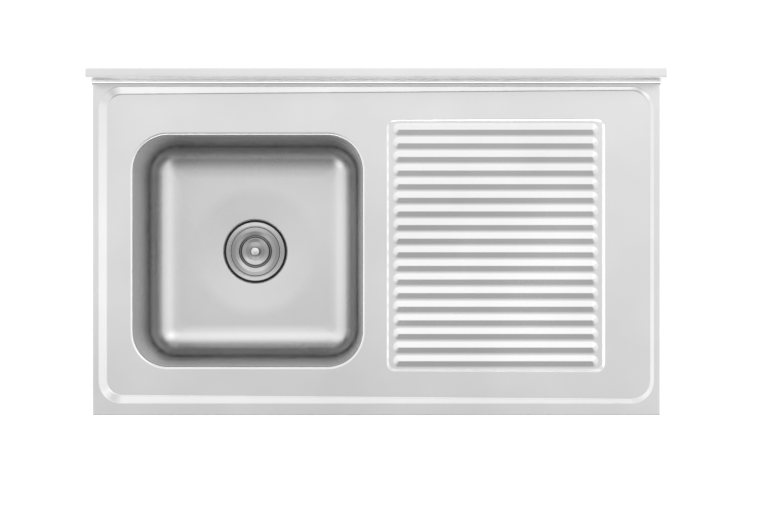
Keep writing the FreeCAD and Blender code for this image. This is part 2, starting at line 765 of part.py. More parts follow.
def waste_cup():
    """Pressed cup with its flange, the lid's ledge, the basket's shelf and the outlet's spigot."""
    under = CUP_FLOOR_Z - CUP_WALL
    return turned(
        [
            (OUTLET_RADIUS, SPIGOT_Z),
            (SPIGOT_RADIUS, SPIGOT_Z),
            (SPIGOT_RADIUS, under),
            (SHELF_RADIUS + CUP_WALL - CUP_FLOOR_BEVEL, under),
            (SHELF_RADIUS + CUP_WALL, under + CUP_FLOOR_BEVEL),
            (SHELF_RADIUS + CUP_WALL, SHELF_Z - CUP_WALL),
            (CUP_OUTER, SHELF_Z - CUP_WALL),
            (CUP_OUTER, LEDGE_Z - CUP_WALL),
            (MOUTH_RADIUS + CUP_WALL, LEDGE_Z - CUP_WALL),
            (MOUTH_RADIUS + CUP_WALL, FLANGE_Z - FLANGE_THICKNESS),
            (FLANGE_RADIUS, FLANGE_Z - FLANGE_THICKNESS),
            (FLANGE_RADIUS, FLANGE_Z - FLANGE_BEVEL),
            (FLANGE_RADIUS - FLANGE_BEVEL, FLANGE_Z),
            (MOUTH_RADIUS, FLANGE_Z),
            (MOUTH_RADIUS, LEDGE_Z),
            (CUP_RADIUS, LEDGE_Z),
            (CUP_RADIUS, SHELF_Z),
            (SHELF_RADIUS, SHELF_Z),
            (SHELF_RADIUS, CUP_FLOOR_Z + CUP_FLOOR_BEVEL),
            (SHELF_RADIUS - CUP_FLOOR_BEVEL, CUP_FLOOR_Z),
            (OUTLET_RADIUS, CUP_FLOOR_Z),
        ]
    )


def flange_gasket():
    """Rubber ring between the flange and the bowl, wider than the flange."""
    bore = MOUTH_RADIUS + 2 * CUP_WALL
    top = SEAT_Z + GASKET_THICKNESS
    return turned(
        [
            (bore, SEAT_Z),
            (GASKET_RADIUS, SEAT_Z),
            (GASKET_RADIUS, top - GASKET_BEVEL),
            (GASKET_RADIUS - GASKET_BEVEL, top),
            (bore, top),
        ]
    )


def under_gasket():
    """Rubber ring under the bowl."""
    return ring(CUP_OUTER + THREAD_CLEARANCE, CLAMP_RADIUS, CLAMP_Z, UNDER_Z)


def slip_washer():
    """Thin ring that lets the lock nut turn without dragging the rubber."""
    return ring(CUP_OUTER + THREAD_CLEARANCE, CLAMP_RADIUS, NUT_Z, CLAMP_Z)


def lock_nut():
    """Flanged ring nut with lugs round it, on the cup's upper wall."""
    bore = CUP_OUTER + THREAD_CLEARANCE
    wall = bore + LOCK_NUT_WALL
    flange = ring(bore, CLAMP_RADIUS, NUT_Z - LOCK_NUT_FLANGE, NUT_Z)
    body = ring(bore, wall, NUT_Z - LOCK_NUT_HEIGHT, NUT_Z)
    lug = block(
        BOWL_X + wall - LOCK_NUT_WALL / 2,
        BOWL_X + CLAMP_RADIUS,
        BOWL_Y - LOCK_NUT_LUG_WIDTH / 2,
        BOWL_Y + LOCK_NUT_LUG_WIDTH / 2,
        NUT_Z - LOCK_NUT_HEIGHT,
        NUT_Z - LOCK_NUT_FLANGE / 2,
    )
    return flange.fuse([body] + spread(lug, LOCK_NUT_LUGS)).removeSplitter()


def tail_washer():
    """Rubber ring between the cup's spigot and the tailpiece."""
    return ring(OUTLET_RADIUS, SPIGOT_RADIUS, COLLAR_Z, SPIGOT_Z)


def tailpiece():
    """Tube to the trap, with a collar that the coupling nut draws up and a neck in the nut."""
    bore = TAIL_RADIUS - TAIL_WALL
    neck = TAIL_RADIUS - TAIL_NECK_RELIEF
    neck_z = COUPLING_Z - TAIL_NECK_SHOW
    under_collar = COLLAR_Z - TAIL_COLLAR_HEIGHT
    return turned(
        [
            (bore, COUPLING_Z - TAIL_LENGTH),
            (TAIL_RADIUS, COUPLING_Z - TAIL_LENGTH),
            (TAIL_RADIUS, neck_z),
            (neck, neck_z),
            (neck, under_collar),
            (SPIGOT_RADIUS, under_collar),
            (SPIGOT_RADIUS, COLLAR_Z),
            (bore, COLLAR_Z),
        ]
    )


def coupling_nut():
    """Nut with round grips that clamps the tailpiece to the spigot."""
    bore = SPIGOT_RADIUS + THREAD_CLEARANCE
    outer = bore + COUPLING_WALL
    floor = COUPLING_Z + COUPLING_FLOOR
    top = SPIGOT_Z + COUPLING_THREAD
    nut = turned(
        [
            (TAIL_RADIUS + THREAD_CLEARANCE, COUPLING_Z),
            (outer, COUPLING_Z),
            (outer, top),
            (bore, top),
            (bore, floor),
            (TAIL_RADIUS + THREAD_CLEARANCE, floor),
        ]
    )
    grip = Part.makeCylinder(
        COUPLING_GRIP_RADIUS, top - COUPLING_Z, Vector(BOWL_X + outer, BOWL_Y, COUPLING_Z)
    )
    return nut.fuse(spread(grip, COUPLING_GRIPS)).removeSplitter()


# The strainer basket

def strainer_basket():
    """Perforated cup that hangs by its rim on the shelf."""
    wall = SHELF_RADIUS - BASKET_WALL_GAP
    under = BASKET_FLOOR_Z - BASKET_SHEET
    rim = CUP_RADIUS - BASKET_CLEARANCE
    basket = turned(
        [
            (POST_RADIUS + POST_FIT, under),
            (wall - BASKET_BEVEL, under),
            (wall, under + BASKET_BEVEL),
            (wall, SHELF_Z),
            (rim, SHELF_Z),
            (rim, SHELF_Z + BASKET_SHEET),
            (wall - BASKET_SHEET, SHELF_Z + BASKET_SHEET),
            (wall - BASKET_SHEET, BASKET_FLOOR_Z + BASKET_BEVEL),
            (wall - BASKET_SHEET - BASKET_BEVEL, BASKET_FLOOR_Z),
            (POST_RADIUS + POST_FIT, BASKET_FLOOR_Z),
        ]
    )
    drills = []
    for index in range(BASKET_RINGS):
        radius = BASKET_RING_START + index * BASKET_RING_STEP
        count = round(2 * math.pi * radius / BASKET_HOLE_SPACING)
        place = Vector(BOWL_X + radius, BOWL_Y, under - OVERRUN)
        drill = Part.makeCylinder(BASKET_HOLE_RADIUS, BASKET_SHEET + 2 * OVERRUN, place)
        drills += spread(drill, count)
    return basket.cut(drills)


def basket_post():
    """Post through the basket's floor, with a head to lift it by."""
    collar_z = BASKET_FLOOR_Z + POST_COLLAR_HEIGHT
    head_z = collar_z + POST_HEIGHT
    end = STOPPER_Z - STOPPER_HEIGHT - STOPPER_NUT_HEIGHT
    return turned(
        [
            (0, end),
            (POST_RADIUS, end),
            (POST_RADIUS, BASKET_FLOOR_Z),
            (POST_COLLAR_RADIUS, BASKET_FLOOR_Z),
            (POST_COLLAR_RADIUS, collar_z),
            (POST_RADIUS, collar_z),
            (POST_RADIUS, head_z - POST_HEAD_HEIGHT),
            (POST_HEAD_RADIUS, head_z - POST_HEAD_HEIGHT / 2),
            (POST_HEAD_RADIUS, head_z - POST_BEVEL),
            (POST_HEAD_RADIUS - POST_BEVEL, head_z),
            (0, head_z),
        ]
    )


def basket_stopper():
    """Rubber cone under the basket that closes the outlet when the post is pushed down."""
    return turned(
        [
            (POST_RADIUS + POST_FIT, STOPPER_Z - STOPPER_HEIGHT),
            (STOPPER_RADIUS - STOPPER_TAPER, STOPPER_Z - STOPPER_HEIGHT),
            (STOPPER_RADIUS, STOPPER_Z - STOPPER_HEIGHT / 2),
            (STOPPER_RADIUS, STOPPER_Z),
            (POST_RADIUS + POST_FIT, STOPPER_Z),
        ]
    )


def stopper_nut():
    """Hexagon nut that holds the stopper on the post."""
    top = STOPPER_Z - STOPPER_HEIGHT
    corners = []
    for index in range(NUT_CORNERS):
        angle = 2 * math.pi * index / NUT_CORNERS
        corner_x = BOWL_X + STOPPER_NUT_RADIUS * math.cos(angle)
        corner_y = BOWL_Y + STOPPER_NUT_RADIUS * math.sin(angle)
        corners.append(Vector(corner_x, corner_y, top - STOPPER_NUT_HEIGHT))
    face = Part.Face(Part.makePolygon(corners + [corners[0]]))
    nut = face.extrude(Vector(0, 0, STOPPER_NUT_HEIGHT))
    return nut.cut(rod(POST_RADIUS + POST_FIT, top - REACH, top + OVERRUN))


# The lid

def lid():
    """Stepped dish over the strainer: flat rim, shoulder, groove, crest and a shallow dish."""
    upper = [
        (LID_RADIUS, 0),
        (LID_SHOULDER_RADIUS, 0),
        (LID_GROOVE_OUTER, -LID_GROOVE_DEPTH),
        (LID_GROOVE_INNER, -LID_GROOVE_DEPTH),
        (LID_CREST_RADIUS, -LID_CREST_DEPTH),
        (LID_DISH_RADIUS, -LID_DISH_DEPTH),
        (KNOB_SCREW_RADIUS + POST_FIT, -LID_DISH_DEPTH),
    ]
    top_line = [(radius, LID_Z + z) for radius, z in upper]
    under_line = [(radius, z - LID_SHEET) for radius, z in top_line]
    return turned(top_line + under_line[::-1])


def lid_knob():
    """Knob with a foot, a waist and a crowned head, drilled for its screw."""
    foot = LID_CENTRE_Z
    top = foot + KNOB_HEIGHT
    head = top - KNOB_HEAD_HEIGHT
    shoulder = top - KNOB_CROWN
    bore = KNOB_SCREW_RADIUS + POST_FIT
    bore_end = foot + KNOB_SCREW_REACH + POST_FIT
    return turned(
        [
            (bore, foot),
            (KNOB_FOOT, foot),
            (KNOB_FOOT, foot + KNOB_FOOT_HEIGHT),
            (KNOB_WAIST, foot + 2 * KNOB_FOOT_HEIGHT),
            (KNOB_WAIST, head),
            (KNOB_RADIUS, (head + shoulder) / 2),
            (KNOB_RADIUS, shoulder),
            (KNOB_SHOULDER_RADIUS, top - KNOB_SHOULDER_DROP),
            (KNOB_TOP_RADIUS, top),
            (0, top),
            (0, bore_end),
            (bore, bore_end),
        ]
    )


def lid_screw():
    """Screw through the lid into the knob."""
    under = LID_CENTRE_Z - LID_SHEET
    head = rod(KNOB_SCREW_HEAD, under - KNOB_SCREW_HEAD_HEIGHT, under)
    shank = rod(KNOB_SCREW_RADIUS, under, LID_CENTRE_Z + KNOB_SCREW_REACH)
    return head.fuse(shank).removeSplitter()


# Fixing brackets

def bracket(side, end):
    """Angle that grips a side return and hangs down inside the cabinet's side panel."""
    x = PANEL_X - BRACKET_GAP
    tongue_x = LENGTH / 2 - SHEET - BRACKET_GAP
    y0 = end * BRACKET_SPACING / 2 - BRACKET_WIDTH / 2
    y1 = y0 + BRACKET_WIDTH
    top = SHEET + BRACKET_SHEET
    tongue = block(x - BRACKET_SHEET, tongue_x, y0, y1, SHEET, top)
    leg = block(x - BRACKET_SHEET, x, y0, y1, -BRACKET_DROP, top)
    angle = tongue.fuse(leg).removeSplitter()

    def bend(point):
        return near(point.x, x - BRACKET_SHEET) and near(point.z, top)

    def lower_corner(point):
        at_side = near(point.y, y0) or near(point.y, y1)
        return near(point.z, -BRACKET_DROP) and at_side

    angle = round_off(angle, BRACKET_SHEET, bend)
    angle = round_off(angle, BRACKET_CORNER, lower_corner)
    place = Vector(x - 2 * BRACKET_SHEET, end * BRACKET_SPACING / 2, -BRACKET_HOLE_DROP)
    hole = Part.makeCylinder(BRACKET_HOLE_RADIUS, 2 * BRACKET_SHEET + OVERRUN, place, Vector(1, 0, 0))
    angle = angle.cut(hole)
    if side < 0:
        angle = angle.mirror(Vector(0, 0, 0), Vector(1, 0, 0))
    return angle


def model():
    """Every piece of the sink under its name."""
    return {
        "deck": deck(),
        "bowl": bowl(),
        "upstand_cap_left": upstand_cap(-1),
        "upstand_cap_right": upstand_cap(1),
        "rear_apron": rear_apron(),
        "stiffener_left": stiffener(-1),
        "stiffener_middle": stiffener(0),
        "stiffener_right": stiffener(1),
        "sound_pad_right": sound_pad(0),
        "sound_pad_rear": sound_pad(90),
        "sound_pad_left": sound_pad(180),
        "sound_pad_front": sound_pad(270),
        "sound_pad_floor": floor_pad(),
        "bracket_left_front": bracket(-1, -1),
        "bracket_left_rear": bracket(-1, 1),
        "bracket_right_front": bracket(1, -1),
        "bracket_right_rear": bracket(1, 1),
        "waste_cup": waste_cup(),
        "flange_gasket": flange_gasket(),
        "under_gasket": under_gasket(),
        "slip_washer": slip_washer(),
        "lock_nut": lock_nut(),
        "tail_washer": tail_washer(),
        "tailpiece": tailpiece(),
        "coupling_nut": coupling_nut(),
        "strainer_basket": strainer_basket(),
        "basket_post": basket_post(),
        "basket_stopper": basket_stopper(),
        "stopper_nut": stopper_nut(),
        "lid": lid(),
        "lid_knob": lid_knob(),
        "lid_screw": lid_screw(),
    }


def main():
    """Writes one file per piece."""
    os.makedirs("parts", exist_ok=True)
    for name, shape in model().items():
        shape.Solids[0].exportStep(f"parts/{name}.step")


if __name__ == "__main__":
    main()
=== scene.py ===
import json
import math

import bmesh
import bpy
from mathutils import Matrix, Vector


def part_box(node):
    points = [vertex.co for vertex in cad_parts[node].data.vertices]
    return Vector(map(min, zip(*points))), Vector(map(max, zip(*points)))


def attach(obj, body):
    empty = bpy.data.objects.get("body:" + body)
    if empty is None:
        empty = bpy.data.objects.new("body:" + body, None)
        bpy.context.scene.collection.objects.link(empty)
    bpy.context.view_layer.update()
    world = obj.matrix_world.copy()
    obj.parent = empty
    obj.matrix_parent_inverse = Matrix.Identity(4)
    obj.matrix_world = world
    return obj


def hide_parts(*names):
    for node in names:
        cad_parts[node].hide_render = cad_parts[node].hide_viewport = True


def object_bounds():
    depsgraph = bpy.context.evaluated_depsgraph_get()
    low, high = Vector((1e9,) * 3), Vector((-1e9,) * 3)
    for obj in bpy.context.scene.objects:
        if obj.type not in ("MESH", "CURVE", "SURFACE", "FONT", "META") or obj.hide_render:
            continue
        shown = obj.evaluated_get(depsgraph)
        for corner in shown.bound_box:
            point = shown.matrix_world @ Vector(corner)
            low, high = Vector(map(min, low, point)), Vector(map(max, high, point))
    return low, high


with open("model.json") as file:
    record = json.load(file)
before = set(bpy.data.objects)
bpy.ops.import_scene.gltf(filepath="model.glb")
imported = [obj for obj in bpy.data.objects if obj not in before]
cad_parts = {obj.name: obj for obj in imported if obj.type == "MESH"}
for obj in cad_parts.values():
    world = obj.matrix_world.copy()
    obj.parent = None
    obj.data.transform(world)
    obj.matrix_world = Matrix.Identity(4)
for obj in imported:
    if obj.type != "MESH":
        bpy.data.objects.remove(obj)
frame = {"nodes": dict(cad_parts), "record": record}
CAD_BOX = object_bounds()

bl_info = {
    "name": "Kitchen Sink Finish",
    "version": (1, 0, 0),
    "blender": (4, 5, 0),
    "location": "3D View > Sidebar > Sink",
    "description": "Models a kitchen sink's visible steelwork and gives each piece its finish",
    "category": "Object",
}

MM = 0.001
QUARTER = math.radians(90)

# Sheet and deck, as pressed
SHEET = 0.8 * MM
RIM_Z = 40 * MM
RETURN_WIDTH = 15 * MM
RETURN_FOLD = 1.5 * MM
EDGE_RADIUS = 3 * MM
UPSTAND_DEPTH = 17 * MM
UPSTAND_LIP = 18 * MM
UPSTAND_RADIUS = 2.5 * MM
COVE_RADIUS = 6 * MM
RIM_SIDE = 12 * MM
RIM_FRONT = 22.5 * MM
RIM_REAR = 9 * MM
STEP_SLOPE = math.radians(35)
STEP_LEFT = 9.2 * MM
STEP_RIGHT = 4.2 * MM
STEP_CORNER = 40 * MM
STEP_TOP_RADIUS = 2 * MM
STEP_FOOT_RADIUS = 4 * MM

# Bowl
BOWL_CORNER = 62 * MM
BOWL_LIP_RADIUS = 5.5 * MM
BOWL_DRAFT = math.radians(4)
BOWL_FOOT_RADIUS = 47 * MM
EASE_SLOPE = math.radians(8)
EASE_RUN = 18 * MM
EASE_CORNER = 20 * MM
EASE_STEPS = 6
FLOOR_FALL = 2.5 * MM
DISH_RADIUS = 124 * MM
DISH_EASE = 22 * MM
DISH_STEPS = 14
SEAT_RADIUS = 60.5 * MM
SEAT_DEPTH = 2.5 * MM
SEAT_BEND = 0.9 * MM
WASTE_HOLE = 45.2 * MM

# Drainboard
DRAINER_RIGHT_MARGIN = 98 * MM
DRAINER_GAP = 43 * MM
DRAINER_FRONT_MARGIN = 78 * MM
DRAINER_REAR_MARGIN = 66 * MM
DRAINER_CORNER = 15 * MM
DRAINER_SLOPE = math.radians(45)
DRAINER_LEFT = 3 * MM
DRAINER_RIGHT = 4.5 * MM
DRAINER_TOP_RADIUS = 1.5 * MM
DRAINER_FOOT_RADIUS = 1.5 * MM
RIB_COUNT = 18
RIB_PITCH = 24 * MM
RIB_WIDTH = 22.8 * MM
RIB_HEIGHT = 2.4 * MM
RIB_END_MARGIN = 10 * MM
RIB_VALLEY_RADIUS = 12 * MM
RIB_CREST_RADIUS = 4 * MM

# Waste cup, its flange and the lid
FLANGE_RADIUS = 55 * MM
FLANGE_SHEET = 1.2 * MM
MOUTH_RADIUS = 47.5 * MM
CUP_OUTER = 44.4 * MM
CUP_RADIUS = 43.2 * MM
SHELF_RADIUS = 40.8 * MM
SHELF_DEPTH = 13 * MM
CUP_DEPTH = 52 * MM
CUP_FLOOR_BEND = 6 * MM
SPIGOT_RADIUS = 22 * MM
OUTLET_RADIUS = 19.5 * MM
CUP_BEND = 0.5 * MM
LID_SHEET = 0.8 * MM
LID_EDGE_BEND = 0.9 * LID_SHEET
LEDGE_GROOVE = 1.8 * MM
LEDGE_GROOVE_DEPTH = 0.8 * MM
LID_RADIUS = 46.4 * MM
LID_SHOULDER = 37.5 * MM
LID_SHOULDER_BEND = 9 * MM
LID_SLOPE_END = 30.6 * MM
LID_SLOPE_DEPTH = 2.2 * MM
LID_GROOVE = 28.2 * MM
LID_GROOVE_DEPTH = 5 * MM
LID_GROOVE_BEND = 1.2 * MM
LID_CREST = 25 * MM
LID_CREST_DEPTH = 1.2 * MM
LID_CREST_BEND = 1.4 * MM
LID_DISH = 18 * MM
LID_DISH_DEPTH = 3.4 * MM
LID_DISH_BEND = 8 * MM
SCREW_HOLE = 2.1 * MM
SCREW_HOLE_DEPTH = 7.1 * MM
KNOB_RADIUS = 8.5 * MM
KNOB_WAIST = 5 * MM
KNOB_FOOT = 7 * MM
KNOB_FOOT_HEIGHT = 1.5 * MM
KNOB_HEAD_HEIGHT = 6 * MM
KNOB_EDGE = 1 * MM
KNOB_WAIST_BEND = 2 * MM
KNOB_CROWN_DROP = 0.6 * MM
KNOB_CROWN_BEND = 3 * MM
KNOB_TIP = 0.5 * MM

# Places read from the frame
DECK_LOW, DECK_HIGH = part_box("deck")
BOWL_LOW, BOWL_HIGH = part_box("bowl")
SEAL_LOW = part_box("flange_gasket")[0]
CUP_LOW, CUP_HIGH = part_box("waste_cup")
LID_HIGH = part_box("lid")[1]
KNOB_LOW, KNOB_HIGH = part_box("lid_knob")
UPSTAND_Y = DECK_HIGH.y - UPSTAND_DEPTH
COVE_Y = UPSTAND_Y - COVE_RADIUS
BOWL_CENTRE = (BOWL_LOW + BOWL_HIGH) / 2
BOWL_LENGTH = BOWL_HIGH.x - BOWL_LOW.x - 2 * SHEET
BOWL_WIDTH = BOWL_HIGH.y - BOWL_LOW.y - 2 * SHEET
WELD_Z = BOWL_HIGH.z
SEAT_Z = SEAL_LOW.z
FLOOR_Z = SEAT_Z + SEAT_DEPTH + FLOOR_FALL
STEP_X0 = DECK_LOW.x + RIM_SIDE
STEP_X1 = DECK_HIGH.x - RIM_SIDE
STEP_Y0 = DECK_LOW.y + RIM_FRONT
STEP_Y1 = UPSTAND_Y - RIM_REAR
DRAINER_X0 = BOWL_CENTRE.x + BOWL_LENGTH / 2 + DRAINER_GAP
DRAINER_X1 = DECK_HIGH.x - DRAINER_RIGHT_MARGIN
DRAINER_Y0 = DECK_LOW.y + DRAINER_FRONT_MARGIN
DRAINER_Y1 = UPSTAND_Y - DRAINER_REAR_MARGIN

# Fineness of the meshes
ARC_STEP = math.radians(7)
CORNER_STEPS = 20
RIB_END_STEPS = 12
SPIN_STEPS = 128
MERGE = 0.02 * MM
TIP_FLAT = 0.004 * MM
SHARP_ANGLE = math.radians(38)

# Rounds in which a depth and a slope are found
DEPTH_ROUNDS = 3
SLOPE_ROUNDS = 30


# Heights

def deck_z(x):
    """Height of the recessed deck, which falls from right to left."""
    share = (x - STEP_X0) / (STEP_X1 - STEP_X0)
    return RIM_Z - STEP_LEFT - (STEP_RIGHT - STEP_LEFT) * share


def drainer_z(x):
    """Height of the drainboard's floor."""
    share = (x - DRAINER_X0) / (DRAINER_X1 - DRAINER_X0)
    left = deck_z(DRAINER_X0) - DRAINER_LEFT
    right = deck_z(DRAINER_X1) - DRAINER_RIGHT
    return left + (right - left) * share


# Profiles

def march(moves, heading=0.0):
    """Points (run, rise) along straight lengths, as numbers, and bends, as (radius, angle)."""
    run = 0.0
    rise = 0.0
    points = [(run, rise)]
    for move in moves:
        if isinstance(move, tuple):
            radius, angle = move
            steps = max(2, math.ceil(abs(angle) / ARC_STEP))
            half = angle / steps / 2
            chord = 2 * radius * math.sin(abs(half))
            for _ in range(steps):
                heading += half
                run += chord * math.cos(heading)
                rise += chord * math.sin(heading)
                points.append((run, rise))
                heading += half
        else:
            run += move * math.cos(heading)
            rise += move * math.sin(heading)
            points.append((run, rise))
    return points


def ended_at(x, way, depth_at, profile):
    """A profile as deep as the place where it ends; way is how far x moves with each inset."""
    rows = profile(depth_at(x))
    for _ in range(DEPTH_ROUNDS):
        rows = profile(depth_at(x + way * rows[-1][0]))
    return rows


def step_profile(slope, top_radius, foot_radius, depth):
    """A rounded slope down through depth; its run counts from the unrounded upper edge."""
    bends = (top_radius + foot_radius) * (1 - math.cos(slope))
    straight = (depth - bends) / math.sin(slope)
    start = -top_radius * math.tan(slope / 2)
    points = march([(top_radius, -slope), straight, (foot_radius, slope)])
    return [(start + run, rise) for run, rise in points]


def rib_slope():
    """Slope of a rib's flanks, which with its two bends reaches the rib's height."""
    half = RIB_WIDTH / 2
    bends = RIB_VALLEY_RADIUS + RIB_CREST_RADIUS
    slope = RIB_HEIGHT / half
    for _ in range(SLOPE_ROUNDS):
        rise = half * math.tan(slope) - bends * (1 / math.cos(slope) - 1)
        slope += (RIB_HEIGHT - rise) / half
    return slope


def rib_profile():
    """From a rib's foot over its flank to the middle of its crest."""
    slope = rib_slope()
    half = RIB_WIDTH / 2
    bends = (RIB_VALLEY_RADIUS + RIB_CREST_RADIUS) * math.sin(slope)
    straight = (half - bends) / math.cos(slope)
    points = march([(RIB_VALLEY_RADIUS, slope), straight, (RIB_CREST_RADIUS, -slope)])
    return points[:-1] + [(half, RIB_HEIGHT)]


# Rings of vertices

def ring_edges(bm, ring, closed=True):
    """The edges that join a ring's neighbours."""
    nexts = ring[1:] + ring[:1] if closed else ring[1:]
    edges = [bm.edges.get(pair) for pair in zip(ring, nexts)]
    return [edge for edge in edges if edge]


def round_ring(bm, x0, x1, y0, y1, radius, steps, corners="all"):
    """A ring in the plane z = 0 with round corners, counter-clockwise."""
    grid = bmesh.ops.create_grid(bm, x_segments=1, y_segments=1, size=0.5)["verts"]
    bmesh.ops.scale(bm, vec=(x1 - x0, y1 - y0, 1), verts=grid)
    bmesh.ops.translate(bm, vec=((x0 + x1) / 2, (y0 + y1) / 2, 0), verts=grid)
    old = set(bm.faces) - set(grid[0].link_faces)
    middle = (y0 + y1) / 2
    chosen = [v for v in grid if corners == "all" or v.co.y < middle]
    bmesh.ops.bevel(
        bm, geom=chosen, offset=radius, offset_type="OFFSET", segments=steps, profile=0.5,
        affect="VERTICES", material=-1,
    )
    face = next(f for f in bm.faces if f not in old)
    if face.normal.z < 0:
        face.normal_flip()
    ring = [loop.vert for loop in face.loops]
    bmesh.ops.delete(bm, geom=[face], context="FACES_ONLY")
    return ring


def miters(ring, closed=True):
    """For each vertex of a counter-clockwise ring, the way that moves its edges inward by 1."""
    count = len(ring)
    sides = []
    for index in range(count):
        along = ring[(index + 1) % count].co - ring[index].co
        sides.append(Vector((-along.y, along.x)).normalized())
    if not closed:
        sides[-1] = sides[-2]
    ways = []
    for index in range(count):
        before = sides[index - 1] if closed or index else sides[0]
        after = sides[index]
        ways.append((before + after) / (1 + before.dot(after)))
    return ways


def draw_out(bm, ring, places, closed=True):
    """Extrudes a ring of edges once, to the places given, and returns the new ring."""
    made = bmesh.ops.extrude_edge_only(bm, edges=ring_edges(bm, ring, closed))["geom"]
    fresh = {item for item in made if isinstance(item, bmesh.types.BMVert)}
    twins = []
    for vert, place in zip(ring, places):
        twin = next(v for v in (e.other_vert(vert) for e in vert.link_edges) if v in fresh)
        twin.co = place
        twins.append(twin)
    return twins


def sweep(bm, ring, rows_at, height_at, closed=True, limit=None):
    """Draws a ring through rows of (inset, rise), which are asked for at each vertex."""
    start = [vert.co.copy() for vert in ring]
    ways = miters(ring, closed)
    rows = [rows_at(point.x, way.x) for point, way in zip(start, ways)]
    for step in range(len(rows[0])):
        places = []
        for point, way, row in zip(start, ways, rows):
            inset, rise = row[step]
            x = point.x + way.x * inset
            y = point.y + way.y * inset
            if limit:
                x, y = limit(x, y, inset)
            places.append(Vector((x, y, height_at(x) + rise)))
        if step:
            ring = draw_out(bm, ring, places, closed)
        else:
            for vert, place in zip(ring, places):
                vert.co = place
            first = ring
    return first, ring


def fill_edges(bm, edges):
    """Faces in the room that some edges bound."""
    bmesh.ops.triangle_fill(
        bm, edges=edges, use_beauty=True, use_dissolve=False, normal=(0, 0, 1)
    )


def fill_flat(bm, *rings):
    """Faces between an outer ring and the rings inside it."""
    fill_edges(bm, [edge for ring in rings for edge in ring_edges(bm, ring)])


def spun(bm, points, centre, steps=SPIN_STEPS):
    """A full turn of an open profile of (radius, z) about a vertical axis."""
    verts = [bm.verts.new((centre.x + radius, centre.y, z)) for radius, z in points]
    edges = [bm.edges.new(pair) for pair in zip(verts, verts[1:])]
    bmesh.ops.spin(
        bm, geom=verts + edges, cent=(centre.x, centre.y, 0), axis=(0, 0, 1), dvec=(0, 0, 0),
        angle=2 * math.pi, steps=steps, use_merge=True, use_duplicate=False,
    )


def softened(points):
    """A profile whose corners, given as (radius, z, bend), are arcs of that bend."""
    soft = []
    for index, point in enumerate(points):
        bend = point[2] if len(point) > 2 else 0.0
        here = Vector(point[:2])
        if not bend or index in (0, len(points) - 1):
            soft.append(tuple(here))
            continue
        to_last = (Vector(points[index - 1][:2]) - here).normalized()
        to_next = (Vector(points[index + 1][:2]) - here).normalized()
        half = to_last.angle(to_next) / 2
        centre = here + (to_last + to_next).normalized() * bend / math.sin(half)
        first = here + to_last * bend / math.tan(half) - centre
        last = here + to_next * bend / math.tan(half) - centre
        angle = first.angle(last)
        steps = max(2, math.ceil(angle / ARC_STEP))
        for step in range(steps + 1):
            share = step / steps
            part = first * math.sin((1 - share) * angle) + last * math.sin(share * angle)
            soft.append(tuple(centre + part / math.sin(angle)))
    return soft


# Pieces

def smooth_group():
    """A node group that shades a mesh smoothly but for its sharp edges."""
    name = "sharp_edges_by_angle"
    if name in bpy.data.node_groups:
        return bpy.data.node_groups[name]
    group = bpy.data.node_groups.new(name, "GeometryNodeTree")
    group.interface.new_socket("Geometry", in_out="INPUT", socket_type="NodeSocketGeometry")
    group.interface.new_socket("Geometry", in_out="OUTPUT", socket_type="NodeSocketGeometry")
    nodes = group.nodes
    links = group.links
    start = nodes.new("NodeGroupInput")
    end = nodes.new("NodeGroupOutput")
    faces = nodes.new("GeometryNodeSetShadeSmooth")
    edges = nodes.new("GeometryNodeSetShadeSmooth")
    edges.domain = "EDGE"
    angle = nodes.new("GeometryNodeInputMeshEdgeAngle")
    wide = nodes.new("FunctionNodeCompare")
    wide.data_type = "FLOAT"
    wide.operation = "GREATER_THAN"
    wide.inputs["B"].default_value = SHARP_ANGLE
    edges.inputs["Shade Smooth"].default_value = False
    links.new(start.outputs[0], faces.inputs["Geometry"])
    links.new(faces.outputs[0], edges.inputs["Geometry"])
    links.new(angle.outputs["Unsigned Angle"], wide.inputs["A"])
    links.new(wide.outputs[0], edges.inputs["Selection"])
    links.new(edges.outputs[0], end.inputs[0])
    return group


def shade(piece):
    """Smooth shading that keeps flat faces flat."""
    smooth = piece.modifiers.new("smooth", "NODES")
    smooth.node_group = smooth_group()
    weighted = piece.modifiers.new("weighted", "WEIGHTED_NORMAL")
    weighted.mode = "FACE_AREA"
    weighted.weight = 50
    weighted.keep_sharp = True


def make_piece(bm, name, node_name, body, thickness=0.0):
    """Turns a bmesh into a piece that stands for a node; a thickness grows behind its faces."""
    bmesh.ops.remove_doubles(bm, verts=bm.verts, dist=MERGE)
    bmesh.ops.recalc_face_normals(bm, faces=bm.faces)
    mesh = bpy.data.meshes.new(name)
    bm.to_mesh(mesh)
    bm.free()
    piece = bpy.data.objects.new(name, mesh)
    bpy.context.scene.collection.objects.link(piece)
    slot = slot_of(node_name)
    mesh.materials.append(slot_material(slot))
    mesh.polygons.foreach_set("use_smooth", [True] * len(mesh.polygons))
    if thickness:
        wall = piece.modifiers.new("sheet", "SOLIDIFY")
        wall.thickness = thickness
        wall.offset = -1.0
        wall.use_quality_normals = True
    shade(piece)
    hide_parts(node_name)
    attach(piece, body)


def slot_of(node):
    """The record's material slot of a node."""
    rows = frame["record"]["subparts"]
    return next(row["material_slot"] for row in rows if row["node"] == node)


# The deck

